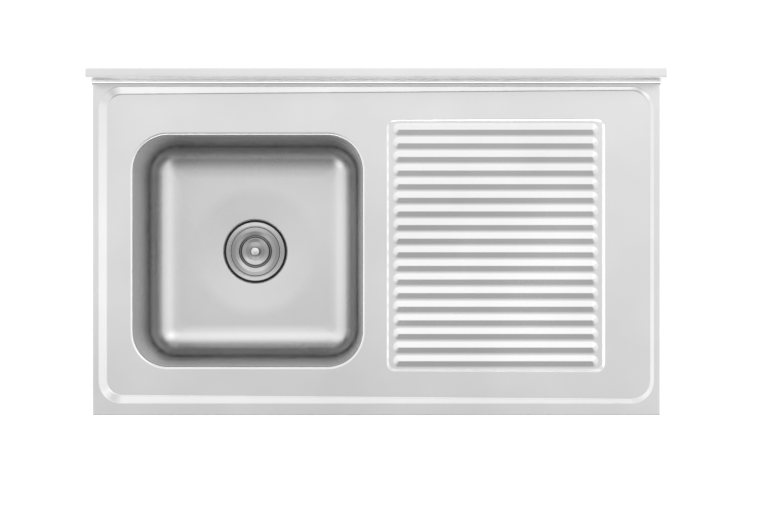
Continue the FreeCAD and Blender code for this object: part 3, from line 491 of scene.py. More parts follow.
def add_apron(bm):
    """The returns, the apron and the rounded rim edge; returns the rim's inner ring."""
    ring = round_ring(
        bm, DECK_LOW.x, DECK_HIGH.x, DECK_LOW.y, COVE_Y, EDGE_RADIUS, CORNER_STEPS // 2, "front"
    )
    rear = max(vert.co.y for vert in ring)
    for _ in ring:
        if ring[0].co.y > rear - MERGE and ring[-1].co.y > rear - MERGE:
            break
        ring = ring[1:] + ring[:1]
    bmesh.ops.delete(bm, geom=[bm.edges.get((ring[-1], ring[0]))], context="EDGES_FACES")
    ends = []
    for vert in (ring[0], ring[-1]):
        made = bmesh.ops.extrude_vert_indiv(bm, verts=[vert])["verts"][0]
        made.co.y = UPSTAND_Y + SHEET
        ends.append(made)
    ring = [ends[0]] + ring + [ends[1]]
    upright = RIM_Z - EDGE_RADIUS - RETURN_FOLD
    rows = march(
        [RETURN_WIDTH - RETURN_FOLD, (RETURN_FOLD, -QUARTER), upright, (EDGE_RADIUS, -QUARTER)],
        heading=math.pi,
    )
    rows = [(RETURN_WIDTH + run, rise) for run, rise in rows]

    def within(x, y, inset):
        wide = DECK_HIGH.x - inset
        return min(max(x, -wide), wide), max(y, DECK_LOW.y + inset)

    last = sweep(bm, ring, lambda x, way: rows, lambda x: 0.0, closed=False, limit=within)[1]
    rim = last[1:-1]
    bm.edges.new((rim[-1], rim[0]))
    return rim


def add_upstand(bm):
    """The cove, the upstand's front, its folded top and the lip behind."""
    rise = DECK_HIGH.z - RIM_Z - COVE_RADIUS - UPSTAND_RADIUS
    points = march([
        (COVE_RADIUS, QUARTER),
        rise,
        (UPSTAND_RADIUS, -QUARTER),
        UPSTAND_DEPTH - 2 * UPSTAND_RADIUS,
        (UPSTAND_RADIUS, -QUARTER),
        UPSTAND_LIP - UPSTAND_RADIUS,
    ])
    line = [bm.verts.new((DECK_LOW.x, COVE_Y + run, RIM_Z + up)) for run, up in points]
    for pair in zip(line, line[1:]):
        bm.edges.new(pair)
    for x in (DECK_LOW.x + EDGE_RADIUS, DECK_HIGH.x - EDGE_RADIUS, DECK_HIGH.x):
        line = draw_out(bm, line, [Vector((x, v.co.y, v.co.z)) for v in line], closed=False)


def add_step(bm):
    """The sloping step from the rim down to the deck."""
    ring = round_ring(bm, STEP_X0, STEP_X1, STEP_Y0, STEP_Y1, STEP_CORNER, CORNER_STEPS)

    def profile(depth):
        return step_profile(STEP_SLOPE, STEP_TOP_RADIUS, STEP_FOOT_RADIUS, depth)

    def rows(x, way):
        return ended_at(x, way, lambda place: RIM_Z - deck_z(place), profile)

    return sweep(bm, ring, rows, lambda x: RIM_Z)


def bowl_ring(bm):
    """A ring with the outline of the bowl's opening."""
    return round_ring(
        bm,
        BOWL_CENTRE.x - BOWL_LENGTH / 2,
        BOWL_CENTRE.x + BOWL_LENGTH / 2,
        BOWL_CENTRE.y - BOWL_WIDTH / 2,
        BOWL_CENTRE.y + BOWL_WIDTH / 2,
        BOWL_CORNER,
        CORNER_STEPS,
    )


def add_lip(bm):
    """The rolled lip round the bowl's opening and the neck that meets the bowl."""
    ring = bowl_ring(bm)

    def rows(x, _):
        neck = deck_z(x) - BOWL_LIP_RADIUS - WELD_Z
        points = march([(BOWL_LIP_RADIUS, -QUARTER), neck])
        return [(run - BOWL_LIP_RADIUS, rise) for run, rise in points]

    first, last = sweep(bm, ring, rows, deck_z)
    for vert in last:
        vert.co.z = WELD_Z
    return first


def add_drainer(bm):
    """The recess of the drainboard with its ribs; returns its upper edge."""
    ring = round_ring(
        bm, DRAINER_X0, DRAINER_X1, DRAINER_Y0, DRAINER_Y1, DRAINER_CORNER, CORNER_STEPS
    )
    mean = (DRAINER_LEFT + DRAINER_RIGHT) / 2

    def profile(depth):
        shift = (mean - depth) / math.tan(DRAINER_SLOPE)
        points = step_profile(DRAINER_SLOPE, DRAINER_TOP_RADIUS, DRAINER_FOOT_RADIUS, depth)
        return [(shift + run, rise) for run, rise in points]

    def rows(x, way):
        return ended_at(x, way, lambda place: deck_z(place) - drainer_z(place), profile)

    first = sweep(bm, ring, rows, deck_z)[0]
    rib_rows = rib_profile()
    centre_x = (DRAINER_X0 + DRAINER_X1) / 2
    centre_y = (DRAINER_Y0 + DRAINER_Y1) / 2
    for index in range(RIB_COUNT):
        y = centre_y + (index - (RIB_COUNT - 1) / 2) * RIB_PITCH
        outline = round_ring(
            bm,
            DRAINER_X0 + RIB_END_MARGIN,
            DRAINER_X1 - RIB_END_MARGIN,
            y - RIB_WIDTH / 2,
            y + RIB_WIDTH / 2,
            RIB_WIDTH / 2 - TIP_FLAT,
            RIB_END_STEPS,
        )
        crest = sweep(bm, outline, lambda x, way: rib_rows, drainer_z)[1]
        left = [vert for vert in crest if vert.co.x < centre_x]
        right = [vert for vert in crest if vert.co.x > centre_x]
        for tip in (left, right):
            bmesh.ops.pointmerge(bm, verts=tip, merge_co=middle_of(tip))
    bmesh.ops.remove_doubles(bm, verts=bm.verts, dist=MERGE)
    floor = [e for e in bm.edges if e.is_boundary and is_on(e, drainer_z) and is_in_drainer(e)]
    fill_edges(bm, floor)
    return first


def middle_of(verts):
    """The mean place of some vertices."""
    return sum((vert.co for vert in verts), Vector()) / len(verts)


def is_on(edge, height_at):
    """Whether an edge lies at the height that its places have on a plane."""
    return all(abs(vert.co.z - height_at(vert.co.x)) < MERGE for vert in edge.verts)


def is_in_drainer(edge):
    """Whether an edge lies within the drainboard's recess."""
    spot = edge.verts[0].co
    return DRAINER_X0 < spot.x < DRAINER_X1 and DRAINER_Y0 < spot.y < DRAINER_Y1


def build_deck():
    """The whole deck pressing as one skin, thickened downward."""
    bm = bmesh.new()
    rim = add_apron(bm)
    add_upstand(bm)
    step_top, step_foot = add_step(bm)
    fill_flat(bm, rim, step_top)
    fill_flat(bm, step_foot, add_lip(bm), add_drainer(bm))
    make_piece(bm, "deck_pressing", "deck", "sink", SHEET)


# The bowl

def build_bowl():
    """Walls, floor, dished middle and the waste's seat as one skin, thickened inward."""
    bm = bmesh.new()
    ring = bowl_ring(bm)
    lean = QUARTER - BOWL_DRAFT
    bend = BOWL_FOOT_RADIUS * (math.cos(EASE_SLOPE) - math.cos(lean))
    rise = EASE_RUN * math.tan(EASE_SLOPE) / 2
    wall = (WELD_Z - FLOOR_Z - rise - bend) / math.sin(lean)
    rows = march([wall, (BOWL_FOOT_RADIUS, lean - EASE_SLOPE)], heading=-lean)
    foot = sweep(bm, ring, lambda x, way: rows, lambda x: WELD_Z)[1]
    foot = add_ease(bm, foot, BOWL_CORNER - rows[-1][0], rise)
    spun(bm, floor_profile(), BOWL_CENTRE)
    round_dish = [v for v in bm.verts if is_dish_edge(v.co)]
    edges = [e for e in bm.edges if e.verts[0] in round_dish and e.verts[1] in round_dish]
    fill_edges(bm, edges + ring_edges(bm, foot))
    make_piece(bm, "drawn_bowl", "bowl", "sink", SHEET)


def is_dish_edge(spot):
    """Whether a spot lies on the circle where the dished middle begins."""
    off = (spot.xy - BOWL_CENTRE.xy).length - DISH_RADIUS
    return abs(off) < MERGE and abs(spot.z - FLOOR_Z) < MERGE


def add_ease(bm, foot, corner, rise):
    """The walls' bend running out softly into the floor; returns the floor's edge."""
    start = [vert.co.copy() for vert in foot]
    ways = miters(foot)
    reach = EASE_RUN - corner + EASE_CORNER
    for step in range(1, EASE_STEPS + 1):
        share = step / EASE_STEPS
        places = []
        for point, way in zip(start, ways):
            x = point.x - math.copysign(reach, point.x - BOWL_CENTRE.x) * share
            y = point.y - math.copysign(reach, point.y - BOWL_CENTRE.y) * share
            round_out = (EASE_CORNER - corner) * share / way.length
            z = FLOOR_Z + rise * (1 - share) ** 2
            places.append(Vector((x - way.x * round_out, y - way.y * round_out, z)))
        foot = draw_out(bm, foot, places)
    return foot


def floor_profile():
    """From the flat floor over the dish to the edge of the waste's hole."""
    points = []
    edge_z = FLOOR_Z - FLOOR_FALL
    slope = FLOOR_FALL / (DISH_RADIUS - SEAT_RADIUS - DISH_EASE / 2)
    for index in range(DISH_STEPS + 1):
        run = DISH_EASE * index / DISH_STEPS
        points.append((DISH_RADIUS - run, FLOOR_Z - slope * run * run / (2 * DISH_EASE)))
    seat = [
        (DISH_RADIUS - DISH_EASE, points[-1][1]),
        (SEAT_RADIUS, edge_z, SEAT_BEND),
        (SEAT_RADIUS, SEAT_Z, SEAT_BEND),
        (WASTE_HOLE, SEAT_Z),
    ]
    return points + softened(seat)[1:]


# The waste

def build_turned(name, profile, node_name, body):
    """A piece turned from a closed profile about the waste's axis, with its bends rounded."""
    bm = bmesh.new()
    points = softened(profile)
    if points[0][0] > MERGE or points[-1][0] > MERGE:
        points.append(points[0])
    spun(bm, points, BOWL_CENTRE)
    make_piece(bm, name, node_name, body)


def cup_profile():
    """Flange, mouth, ledge of the lid, shelf of the basket, floor and spigot."""
    ledge = LID_HIGH.z - LID_SHEET
    shelf = ledge - SHELF_DEPTH
    floor = ledge - CUP_DEPTH
    flange = CUP_HIGH.z
    wall = FLANGE_SHEET
    shell = SHELF_RADIUS + wall
    return [
        (OUTLET_RADIUS, CUP_LOW.z),
        (SPIGOT_RADIUS, CUP_LOW.z),
        (SPIGOT_RADIUS, floor - wall, CUP_BEND),
        (shell, floor - wall, CUP_FLOOR_BEND),
        (shell, shelf - wall),
        (CUP_OUTER, shelf - wall, CUP_BEND),
        (CUP_OUTER, ledge - wall),
        (MOUTH_RADIUS + wall, ledge - wall, CUP_BEND),
        (MOUTH_RADIUS + wall, flange - wall),
        (FLANGE_RADIUS, flange - wall),
        (FLANGE_RADIUS, flange, 2 * CUP_BEND),
        (MOUTH_RADIUS, flange, CUP_BEND),
        (MOUTH_RADIUS, ledge - LEDGE_GROOVE_DEPTH),
        (MOUTH_RADIUS - LEDGE_GROOVE, ledge - LEDGE_GROOVE_DEPTH),
        (MOUTH_RADIUS - LEDGE_GROOVE, ledge),
        (CUP_RADIUS, ledge, CUP_BEND),
        (CUP_RADIUS, shelf, CUP_BEND),
        (SHELF_RADIUS, shelf, CUP_BEND),
        (SHELF_RADIUS, floor, CUP_FLOOR_BEND),
        (OUTLET_RADIUS, floor),
    ]


def lid_profile():
    """Rim turned down at its edge, shoulder, round groove, crest and a shallow dish."""
    top = LID_HIGH.z
    upper = [
        (LID_SHOULDER, 0, LID_SHOULDER_BEND),
        (LID_SLOPE_END, -LID_SLOPE_DEPTH, LID_GROOVE_BEND),
        (LID_GROOVE, -LID_GROOVE_DEPTH, LID_GROOVE_BEND),
        (LID_CREST, -LID_CREST_DEPTH, LID_CREST_BEND),
        (LID_DISH, -LID_DISH_DEPTH, LID_DISH_BEND),
        (SCREW_HOLE, -LID_DISH_DEPTH),
    ]
    above = [(radius, top + z, *bend) for radius, z, *bend in upper]
    under = [(radius, z - LID_SHEET, *bend) for radius, z, *bend in above]
    edge = [(LID_RADIUS, top - LID_SHEET), (LID_RADIUS, top, LID_EDGE_BEND)]
    return edge + above + under[::-1]


def knob_profile():
    """Foot, waist and a domed head, drilled for the screw."""
    foot = KNOB_LOW.z
    top = KNOB_HIGH.z
    head = top - KNOB_HEAD_HEIGHT
    return [
        (0, foot + SCREW_HOLE_DEPTH),
        (SCREW_HOLE, foot + SCREW_HOLE_DEPTH),
        (SCREW_HOLE, foot),
        (KNOB_FOOT, foot),
        (KNOB_FOOT, foot + KNOB_FOOT_HEIGHT, KNOB_EDGE),
        (KNOB_WAIST, foot + 2 * KNOB_FOOT_HEIGHT, KNOB_WAIST_BEND),
        (KNOB_WAIST, head, KNOB_WAIST_BEND),
        (KNOB_RADIUS, head + KNOB_EDGE, KNOB_EDGE),
        (KNOB_RADIUS, top - KNOB_CROWN_DROP, KNOB_CROWN_BEND),
        (KNOB_TIP, top),
        (0, top),
    ]


# Materials

# Patterns in cells to the metre, depths of bumps, and shares of a tone
STEEL_CLOUDS = 5.0
STEEL_GRAINS = 1400.0
STEEL_WAVES = 7.0
STEEL_GRAIN_DEPTH = 0.006 * MM
STEEL_WAVE_DEPTH = 0.03 * MM
STEEL_CLOUD_GLOSS = 0.02
STEEL_GRAIN_GLOSS = 0.01
STEEL_DARK = 0.955
STEEL_LIGHT = 1.035
MILL_TONE = 0.85
MILL_ROUGHNESS = 0.38
POLISHED_ROUGHNESS = 0.12
# Painted shade: the bowl's walls above its floor darker by this share, fading in between these
# heights
BOWL_WALL_SHADE = 0.25
BOWL_SHADE_FADE = (FLOOR_Z + 5 * MM, FLOOR_Z + 32 * MM)
TURNED_LINES = 2600.0
TURNED_DEPTH = 0.02 * MM
# Painted shade: the share of its tone that turned steel keeps at its sides, in place of the
# brushed steel's reflection
TURNED_SIDE_SHADE = 0.56
WASTE_TONE = 0.95
WASTE_ROUGHNESS = 0.26
LID_TONE = 0.7
LID_ROUGHNESS = 0.2
RUBBER_GRAINS = 500.0
RUBBER_CLOUDS = 30.0
RUBBER_DEPTH = 0.04 * MM
RUBBER_ROUGHNESS = 0.5
PAD_TONE = (0.030, 0.030, 0.032)
PAD_ROUGHNESS = 0.75
PAD_GRAINS = 350.0
PAD_DEPTH = 0.25 * MM
PLASTIC_GRAINS = 900.0
PLASTIC_CLOUDS = 25.0
PLASTIC_DEPTH = 0.02 * MM
ZINC_TONE = (0.62, 0.63, 0.65)
ZINC_FLAKES = 130.0
ZINC_GRAINS = 300.0
ZINC_DEPTH = 0.03 * MM
FLOOR_CLOUDS = 3.0

# Painted shade in the gap under the lid's edge, in the lid's groove and round the knob: its tone,
# and circles as radius, half width and how dark
PAINTED_SHADE_TONE = 0.03
GAP_SHADE = (LID_RADIUS, 1.9 * MM, 1.0)
LID_SHADES = (GAP_SHADE, (LID_GROOVE, 3.4 * MM, 0.4), (0.0, 13 * MM, 0.4))


def node(tree, kind, **values):
    """A new node; values go to its sockets by name, or to itself where it has no such socket."""
    made = tree.nodes.new(kind)
    for name, value in values.items():
        label = name.replace("_", " ")
        if label in made.inputs:
            made.inputs[label].default_value = value
        else:
            setattr(made, name, value)
    return made


def feed(tree, socket, value):
    """Links a socket to another node's, or sets it to a number, a vector or a colour."""
    if isinstance(value, bpy.types.NodeSocket):
        tree.links.new(value, socket)
    elif socket.type == "RGBA":
        socket.default_value = (*value, 1)
    else:
        socket.default_value = value


def maths(tree, operation, *values):
    """The result of a sum on numbers or sockets."""
    made = node(tree, "ShaderNodeMath", operation=operation)
    for socket, value in zip(made.inputs, values):
        feed(tree, socket, value)
    return made.outputs[0]


def vector_maths(tree, operation, *values):
    """The node of a sum on vectors."""
    made = node(tree, "ShaderNodeVectorMath", operation=operation)
    for socket, value in zip(made.inputs, values):
        feed(tree, socket, value)
    return made


def split(tree, vector):
    """The three parts of a vector."""
    made = tree.nodes.new("ShaderNodeSeparateXYZ")
    tree.links.new(vector, made.inputs[0])
    return made.outputs


def level(tree, x, y=0.0):
    """A vector without height."""
    made = tree.nodes.new("ShaderNodeCombineXYZ")
    feed(tree, made.inputs["X"], x)
    feed(tree, made.inputs["Y"], y)
    return made.outputs[0]


def shaded(tone, share):
    """A share of a tone."""
    return tuple(min(1.0, share * part) for part in tone)


def grey(tone):
    """A grey colour."""
    return (tone, tone, tone)


def noise(tree, place, scale, detail=3.0):
    """Noise on the object's coordinates; scale is in cells to the metre."""
    made = node(tree, "ShaderNodeTexNoise", Scale=scale, Detail=detail)
    tree.links.new(place, made.inputs["Vector"])
    return made.outputs["Fac"]


def spread(tree, value, low, high, start=0.3, end=0.7):
    """A value brought from its range, which for noise is its middle, to another range."""
    made = node(
        tree, "ShaderNodeMapRange", From_Min=start, From_Max=end, To_Min=low, To_Max=high
    )
    tree.links.new(value, made.inputs["Value"])
    return made.outputs["Result"]


def mixed(tree, factor, first, second, kind="MIX"):
    """A colour mixed by a factor from two, each a colour or a socket."""
    made = node(tree, "ShaderNodeMix", data_type="RGBA", blend_type=kind)
    tree.links.new(factor, made.inputs["Factor"])
    sockets = [socket for socket in made.inputs if socket.type == "RGBA"]
    for socket, value in zip(sockets, (first, second)):
        feed(tree, socket, value)
    return next(socket for socket in made.outputs if socket.type == "RGBA")


def bump(tree, value, distance, strength, under=None):
    """A bump over the one under it; the distance is in metres."""
    made = node(tree, "ShaderNodeBump", Strength=strength, Distance=distance)
    tree.links.new(value, made.inputs["Height"])
    if under:
        tree.links.new(under, made.inputs["Normal"])
    return made.outputs["Normal"]


class Finish:
    """A material with an empty tree, its shader and the object's coordinates."""

    def __init__(self, name):
        material = bpy.data.materials.new(name)
        material.use_nodes = True
        self.material = material
        self.tree = material.node_tree
        self.tree.nodes.clear()
        output = self.tree.nodes.new("ShaderNodeOutputMaterial")
        self.shader = self.tree.nodes.new("ShaderNodeBsdfPrincipled")
        self.place = self.tree.nodes.new("ShaderNodeTexCoord").outputs["Object"]
        self.tree.links.new(self.shader.outputs["BSDF"], output.inputs["Surface"])

    def take(self, colour, roughness, normal, metallic=0.0, specular=0.5):
        """Feeds the shader and returns the material."""
        feed(self.tree, self.shader.inputs["Base Color"], colour)
        feed(self.tree, self.shader.inputs["Roughness"], roughness)
        feed(self.tree, self.shader.inputs["Normal"], normal)
        self.shader.inputs["Metallic"].default_value = metallic
        self.shader.inputs["Specular IOR Level"].default_value = specular
        return self.material


def steel(name, tone, roughness, wave=STEEL_WAVE_DEPTH, wall_shade=0.0):
    """Satin stainless steel: fine grain, soft clouds in tone and gloss and a faint waviness.

    A painted shade darkens the walls above the bowl's floor by the share given.
    """
    made = Finish(name)
    tree = made.tree
    clouds = noise(tree, made.place, STEEL_CLOUDS, detail=4.0)
    grains = noise(tree, made.place, STEEL_GRAINS, detail=2.0)
    waves = noise(tree, made.place, STEEL_WAVES, detail=1.0)
    dark = shaded(tone, STEEL_DARK)
    light = shaded(tone, STEEL_LIGHT)
    colour = mixed(tree, spread(tree, clouds, 0, 1), dark, light)
    if wall_shade:
        # Painted shade on the bowl's walls above its floor
        height = split(tree, made.place)["Z"]
        wall = spread(tree, height, 0, wall_shade, *BOWL_SHADE_FADE)
        colour = mixed(tree, wall, colour, grey(0.0))
    cloudy = spread(tree, clouds, -STEEL_CLOUD_GLOSS, STEEL_CLOUD_GLOSS)
    low = roughness - STEEL_GRAIN_GLOSS
    grainy = spread(tree, grains, low, roughness + STEEL_GRAIN_GLOSS)
    soft = bump(tree, waves, wave, strength=0.5)
    fine = bump(tree, grains, STEEL_GRAIN_DEPTH, strength=0.1, under=soft)
    return made.take(colour, maths(tree, "ADD", cloudy, grainy), fine, metallic=1.0)


def turned_steel(name, tone, roughness, painted_shades):
    """Steel brushed round the waste's axis, with painted shade towards its sides and in circles.

    The painted shade circles, where shade falls in gaps, grooves and round the knob, are each
    given as its radius, half its width and how dark it is.
    """
    made = Finish(name)
    tree = made.tree
    axis = (BOWL_CENTRE.x, BOWL_CENTRE.y, 0)
    x, y, _ = split(tree, vector_maths(tree, "SUBTRACT", made.place, axis).outputs[0])
    radius = vector_maths(tree, "LENGTH", level(tree, x, y)).outputs["Value"]
    lines = noise(tree, level(tree, radius), TURNED_LINES, detail=4.0)
    # Painted shade towards the sides, across x, in place of the brushed steel's reflection
    aside = maths(tree, "DIVIDE", maths(tree, "ABSOLUTE", x), radius)
    shadow = spread(tree, aside, 1, 0, 0.35, 1.0)
    colour = mixed(tree, shadow, shaded(tone, TURNED_SIDE_SHADE), tone)
    # Painted shade in circles about the axis, darkest on each circle
    for circle, half, share in painted_shades:
        away = maths(tree, "ABSOLUTE", maths(tree, "SUBTRACT", radius, circle))
        mask = spread(tree, away, share, 0, half / 2, half)
        colour = mixed(tree, mask, colour, grey(PAINTED_SHADE_TONE))
    brushed = spread(tree, lines, roughness - 0.06, roughness + 0.08)
    ridges = bump(tree, lines, TURNED_DEPTH, strength=0.35)
    return made.take(colour, brushed, ridges, metallic=1.0)


def rubber(name, tone, roughness=RUBBER_ROUGHNESS, grain=RUBBER_GRAINS, depth=RUBBER_DEPTH):
    """Black rubber or bitumen with a dusty grain."""
    made = Finish(name)
    tree = made.tree
    grains = noise(tree, made.place, grain, detail=5.0)
    clouds = noise(tree, made.place, RUBBER_CLOUDS)
    colour = mixed(tree, spread(tree, clouds, 0, 1), shaded(tone, 0.7), shaded(tone, 1.4))
    dusty = spread(tree, grains, roughness - 0.08, roughness + 0.08)
    return made.take(colour, dusty, bump(tree, grains, depth, strength=0.4), specular=0.15)


def plastic(name, tone):
    """Moulded white plastic with a faint texture."""
    made = Finish(name)
    tree = made.tree
    grains = noise(tree, made.place, PLASTIC_GRAINS, detail=2.0)
    clouds = noise(tree, made.place, PLASTIC_CLOUDS)
    colour = mixed(tree, spread(tree, clouds, 0, 1), shaded(tone, 0.95), tone)
    satin = spread(tree, clouds, 0.38, 0.48)
    return made.take(colour, satin, bump(tree, grains, PLASTIC_DEPTH, strength=0.25))


def galvanised(name, tone):
    """Zinc-coated sheet with its spangle."""
    made = Finish(name)
    tree = made.tree
    flakes = node(tree, "ShaderNodeTexVoronoi", Scale=ZINC_FLAKES, Randomness=1.0)
    tree.links.new(made.place, flakes.inputs["Vector"])
    shine = tree.nodes.new("ShaderNodeSeparateColor")
    tree.links.new(flakes.outputs["Color"], shine.inputs["Color"])
    fleck = shine.outputs[0]
    colour = mixed(tree, spread(tree, fleck, 0, 1, 0, 1), shaded(tone, 0.82), shaded(tone, 1.12))
    grains = noise(tree, made.place, ZINC_GRAINS)
    satin = spread(tree, fleck, 0.30, 0.50, 0, 1)
    return made.take(colour, satin, bump(tree, grains, ZINC_DEPTH, strength=0.3), metallic=1.0)


def floor_paint(name):
    """Pale matt paint that glows a little, so that the floor stays white."""
    made = Finish(name)
    tree = made.tree
    tone = mixed(tree, noise(tree, made.place, FLOOR_CLOUDS), grey(0.88), grey(0.90))
    feed(tree, made.shader.inputs["Base Color"], tone)
    made.shader.inputs["Roughness"].default_value = 0.9
    made.shader.inputs["Specular IOR Level"].default_value = 0.1
    made.shader.inputs["Emission Color"].default_value = (1, 1, 1, 1)
    made.shader.inputs["Emission Strength"].default_value = 0.25
    return made.material


# Settings that a user would change

class SinkLooks(bpy.types.PropertyGroup):
    """Colours and finish of the sink's materials."""

    bowl_tone: bpy.props.FloatVectorProperty(
        name="Bowl", description="Colour of the drawn bowl's steel", subtype="COLOR", size=3,
        default=(0.53, 0.53, 0.53), min=0.0, max=1.0,
    )
    steel_tone: bpy.props.FloatVectorProperty(
        name="Steel", description="Colour of the pressed steel", subtype="COLOR", size=3,
        default=(0.58, 0.58, 0.58), min=0.0, max=1.0,
    )
    deck_roughness: bpy.props.FloatProperty(
        name="Deck roughness", description="How dull the deck's satin is", subtype="FACTOR",
        default=0.25, min=0.0, max=1.0,
    )
    bowl_roughness: bpy.props.FloatProperty(
        name="Bowl roughness", description="How dull the bowl's satin is", subtype="FACTOR",
        default=0.28, min=0.0, max=1.0,
    )
    plastic_tone: bpy.props.FloatVectorProperty(
        name="Plastic", description="Colour of the waste's nuts and pipe", subtype="COLOR", size=3,
        default=(0.80, 0.80, 0.77), min=0.0, max=1.0,
    )
    rubber_tone: bpy.props.FloatVectorProperty(
        name="Rubber", description="Colour of the seals", subtype="COLOR", size=3,
        default=(0.012, 0.012, 0.012), min=0.0, max=1.0,
    )


class SinkStage(bpy.types.PropertyGroup):
    """The camera and the light."""

    camera_height: bpy.props.FloatProperty(
        name="Camera height", description="Height of the camera above the rim", unit="LENGTH",
        default=3.15, min=0.5,
    )
    camera_x: bpy.props.FloatProperty(
        name="Camera right", description="Camera's place along the sink", unit="LENGTH",
        default=15.3 * MM,
    )
    camera_y: bpy.props.FloatProperty(
        name="Camera forward", description="Camera's place across the sink", unit="LENGTH",
        default=-33.6 * MM,
    )
    lens: bpy.props.FloatProperty(
        name="Lens", description="Focal length on a 36 mm sensor, in millimetres",
        default=83.8, min=10.0,
    )
    light: bpy.props.FloatProperty(
        name="Light", description="Strength of the studio's surround",
        default=1.58, min=0.0,
    )


# Operators

def slot_material(slot):
    """The material of one of the record's slots."""
    looks = bpy.context.scene.sink_looks
    tone = tuple(looks.steel_tone)
    bowl_tone = tuple(looks.bowl_tone)
    finishes = {
        "satin_steel": (steel, tone, looks.deck_roughness),
        # The bowl's steel gets a painted shade on its walls
        "bowl_steel": (steel, bowl_tone, looks.bowl_roughness, STEEL_WAVE_DEPTH, BOWL_WALL_SHADE),
        "mill_steel": (steel, shaded(tone, MILL_TONE), MILL_ROUGHNESS),
        "polished_steel": (steel, tone, POLISHED_ROUGHNESS, 0.0),
        # The waste and lid steel get painted shade at their sides and in circles
        "waste_steel": (turned_steel, shaded(tone, WASTE_TONE), WASTE_ROUGHNESS, (GAP_SHADE,)),
        "lid_steel": (turned_steel, shaded(tone, LID_TONE), LID_ROUGHNESS, LID_SHADES),
        "galvanised": (galvanised, ZINC_TONE),
        "sound_pad": (rubber, PAD_TONE, PAD_ROUGHNESS, PAD_GRAINS, PAD_DEPTH),
        "black_rubber": (rubber, tuple(looks.rubber_tone)),
        "white_plastic": (plastic, tuple(looks.plastic_tone)),
    }
    name = f"{slot}_finish"
    maker, *values = finishes[slot]
    return bpy.data.materials.get(name) or maker(name, *values)


def dress(names):
    """Gives frame nodes their finish and smooth shading."""
    for name in names:
        piece = frame["nodes"][name]
        material = slot_material(slot_of(name))
        if not piece.material_slots:
            piece.data.materials.append(material)
        for slot in piece.material_slots:
            slot.material = material
        weld = piece.modifiers.new("weld", "WELD")
        weld.merge_threshold = MERGE
        shade(piece)


class SINK_OT_deck(bpy.types.Operator):
    """Models the deck pressing"""

    bl_idname = "sink.deck"
    bl_label = "Deck"

    def execute(self, context):
        build_deck()
        return {"FINISHED"}


class SINK_OT_bowl(bpy.types.Operator):
    """Models the bowl"""

    bl_idname = "sink.bowl"
    bl_label = "Bowl"

    def execute(self, context):
        build_bowl()
        return {"FINISHED"}


# Turned pieces by the node that each stands for: name, profile and body
TURNED = {
    "waste_cup": ("pressed_cup", cup_profile, "sink"),
    "lid": ("strainer_lid", lid_profile, "cover"),
    "lid_knob": ("turned_knob", knob_profile, "cover"),
}


class SINK_OT_waste(bpy.types.Operator):
    """Models the visible pieces of the waste"""

    bl_idname = "sink.waste"
    bl_label = "Waste"

    def execute(self, context):
        for node_name, (name, profile, body) in TURNED.items():
            build_turned(name, profile(), node_name, body)
        return {"FINISHED"}


class SINK_OT_fittings(bpy.types.Operator):
    """Finishes the pieces that keep the frame's own shape"""

    bl_idname = "sink.fittings"
    bl_label = "Fittings"

    def execute(self, context):
        made = ("deck", "bowl", *TURNED)
        dress(sorted(name for name in frame["nodes"] if name not in made))
        return {"FINISHED"}


class SINK_OT_stage(bpy.types.Operator):
    """Sets the floor, the light and the camera"""

    bl_idname = "sink.stage"
    bl_label = "Stage"

    def execute(self, context):
        settings = context.scene.sink_stage
        add_floor()
        add_surround(context.scene, settings.light)
        add_camera(context.scene, settings)
        return {"FINISHED"}


# The stage

FLOOR_HALF = 12.0
FLOOR_GAP = 0.5 * MM
SENSOR_WIDTH = 36.0
CLIP_END = 100.0


def add_floor():
    """A wide pale floor under the waste's pipe."""
    bm = bmesh.new()
    bmesh.ops.create_grid(bm, x_segments=1, y_segments=1, size=FLOOR_HALF)
    bmesh.ops.translate(bm, vec=(0, 0, CAD_BOX[0][2] - FLOOR_GAP), verts=bm.verts)
    mesh = bpy.data.meshes.new("floor")
    bm.to_mesh(mesh)
    bm.free()
    floor = bpy.data.objects.new("floor", mesh)
    bpy.context.scene.collection.objects.link(floor)
    mesh.materials.append(floor_paint("floor_paint"))


def add_camera(scene, settings):
    """A camera over the sink, as in the photograph."""
    camera = bpy.data.cameras.new("camera")
    camera.lens = settings.lens
    camera.sensor_width = SENSOR_WIDTH
    camera.clip_end = CLIP_END
    view = bpy.data.objects.new("camera", camera)
    view.location = (settings.camera_x, settings.camera_y, RIM_Z + settings.camera_height)
    scene.collection.objects.link(view)
    scene.camera = view
    scene.view_settings.view_transform = "Standard"


# Greys of the sky by how far a way points to the wall behind the sink, from -1 to 1
SKY_TONES = (
    (-1.0, 0.24),
    (-0.85, 0.20),
    (-0.69, 0.28),
    (-0.5, 0.34),
    (-0.3, 0.46),
    (-0.19, 0.53),
    (-0.09, 0.59),
    (0.0, 0.68),
    (0.09, 0.80),
    (0.2, 1.02),
    (0.35, 1.08),
    (0.55, 1.0),
    (0.69, 0.84),
    (0.8, 0.58),
    (0.9, 0.38),
    (1.0, 0.35),
)

# Greys to either side, from 0 to 1, and where they take over from the sky's
SIDE_TONES = (
    (0.0, 0.70),
    (0.1, 0.76),
    (0.2, 0.90),
    (0.5, 0.96),
    (0.66, 0.88),
    (0.8, 0.84),
    (1.0, 0.90),
)
SIDE_SHARE = 0.95
SIDE_START = (0.1, 0.4)
SIDE_WINDOW = (0.25, 0.6)
RIGHT_LEAN = 0.2

# The light ring at the horizon: what each stretch of it adds, where that fades, and its top
RING_TONE = 0.92
RING_FRONT = 1.1
RING_REAR = 0.5
RING_SIDES = 0.5
RING_FRONT_FADE = (-0.9, -0.75)
RING_REAR_FADE = (0.8, 0.9)
RING_SIDES_FADE = (0.8, 0.95)
RING_TOP_FADE = (0.38, 0.45)

# Soft boxes: way, radius and tone
SOFT_BOXES = (
    ((-0.55, -0.60, 0.58), math.radians(20), 0.9),
    ((0.55, -0.60, 0.58), math.radians(16), 0.5),
    ((0.50, 0.62, 0.60), math.radians(20), 0.35),
    ((0.38, 0.42, 0.82), math.radians(14), 0.45),
)


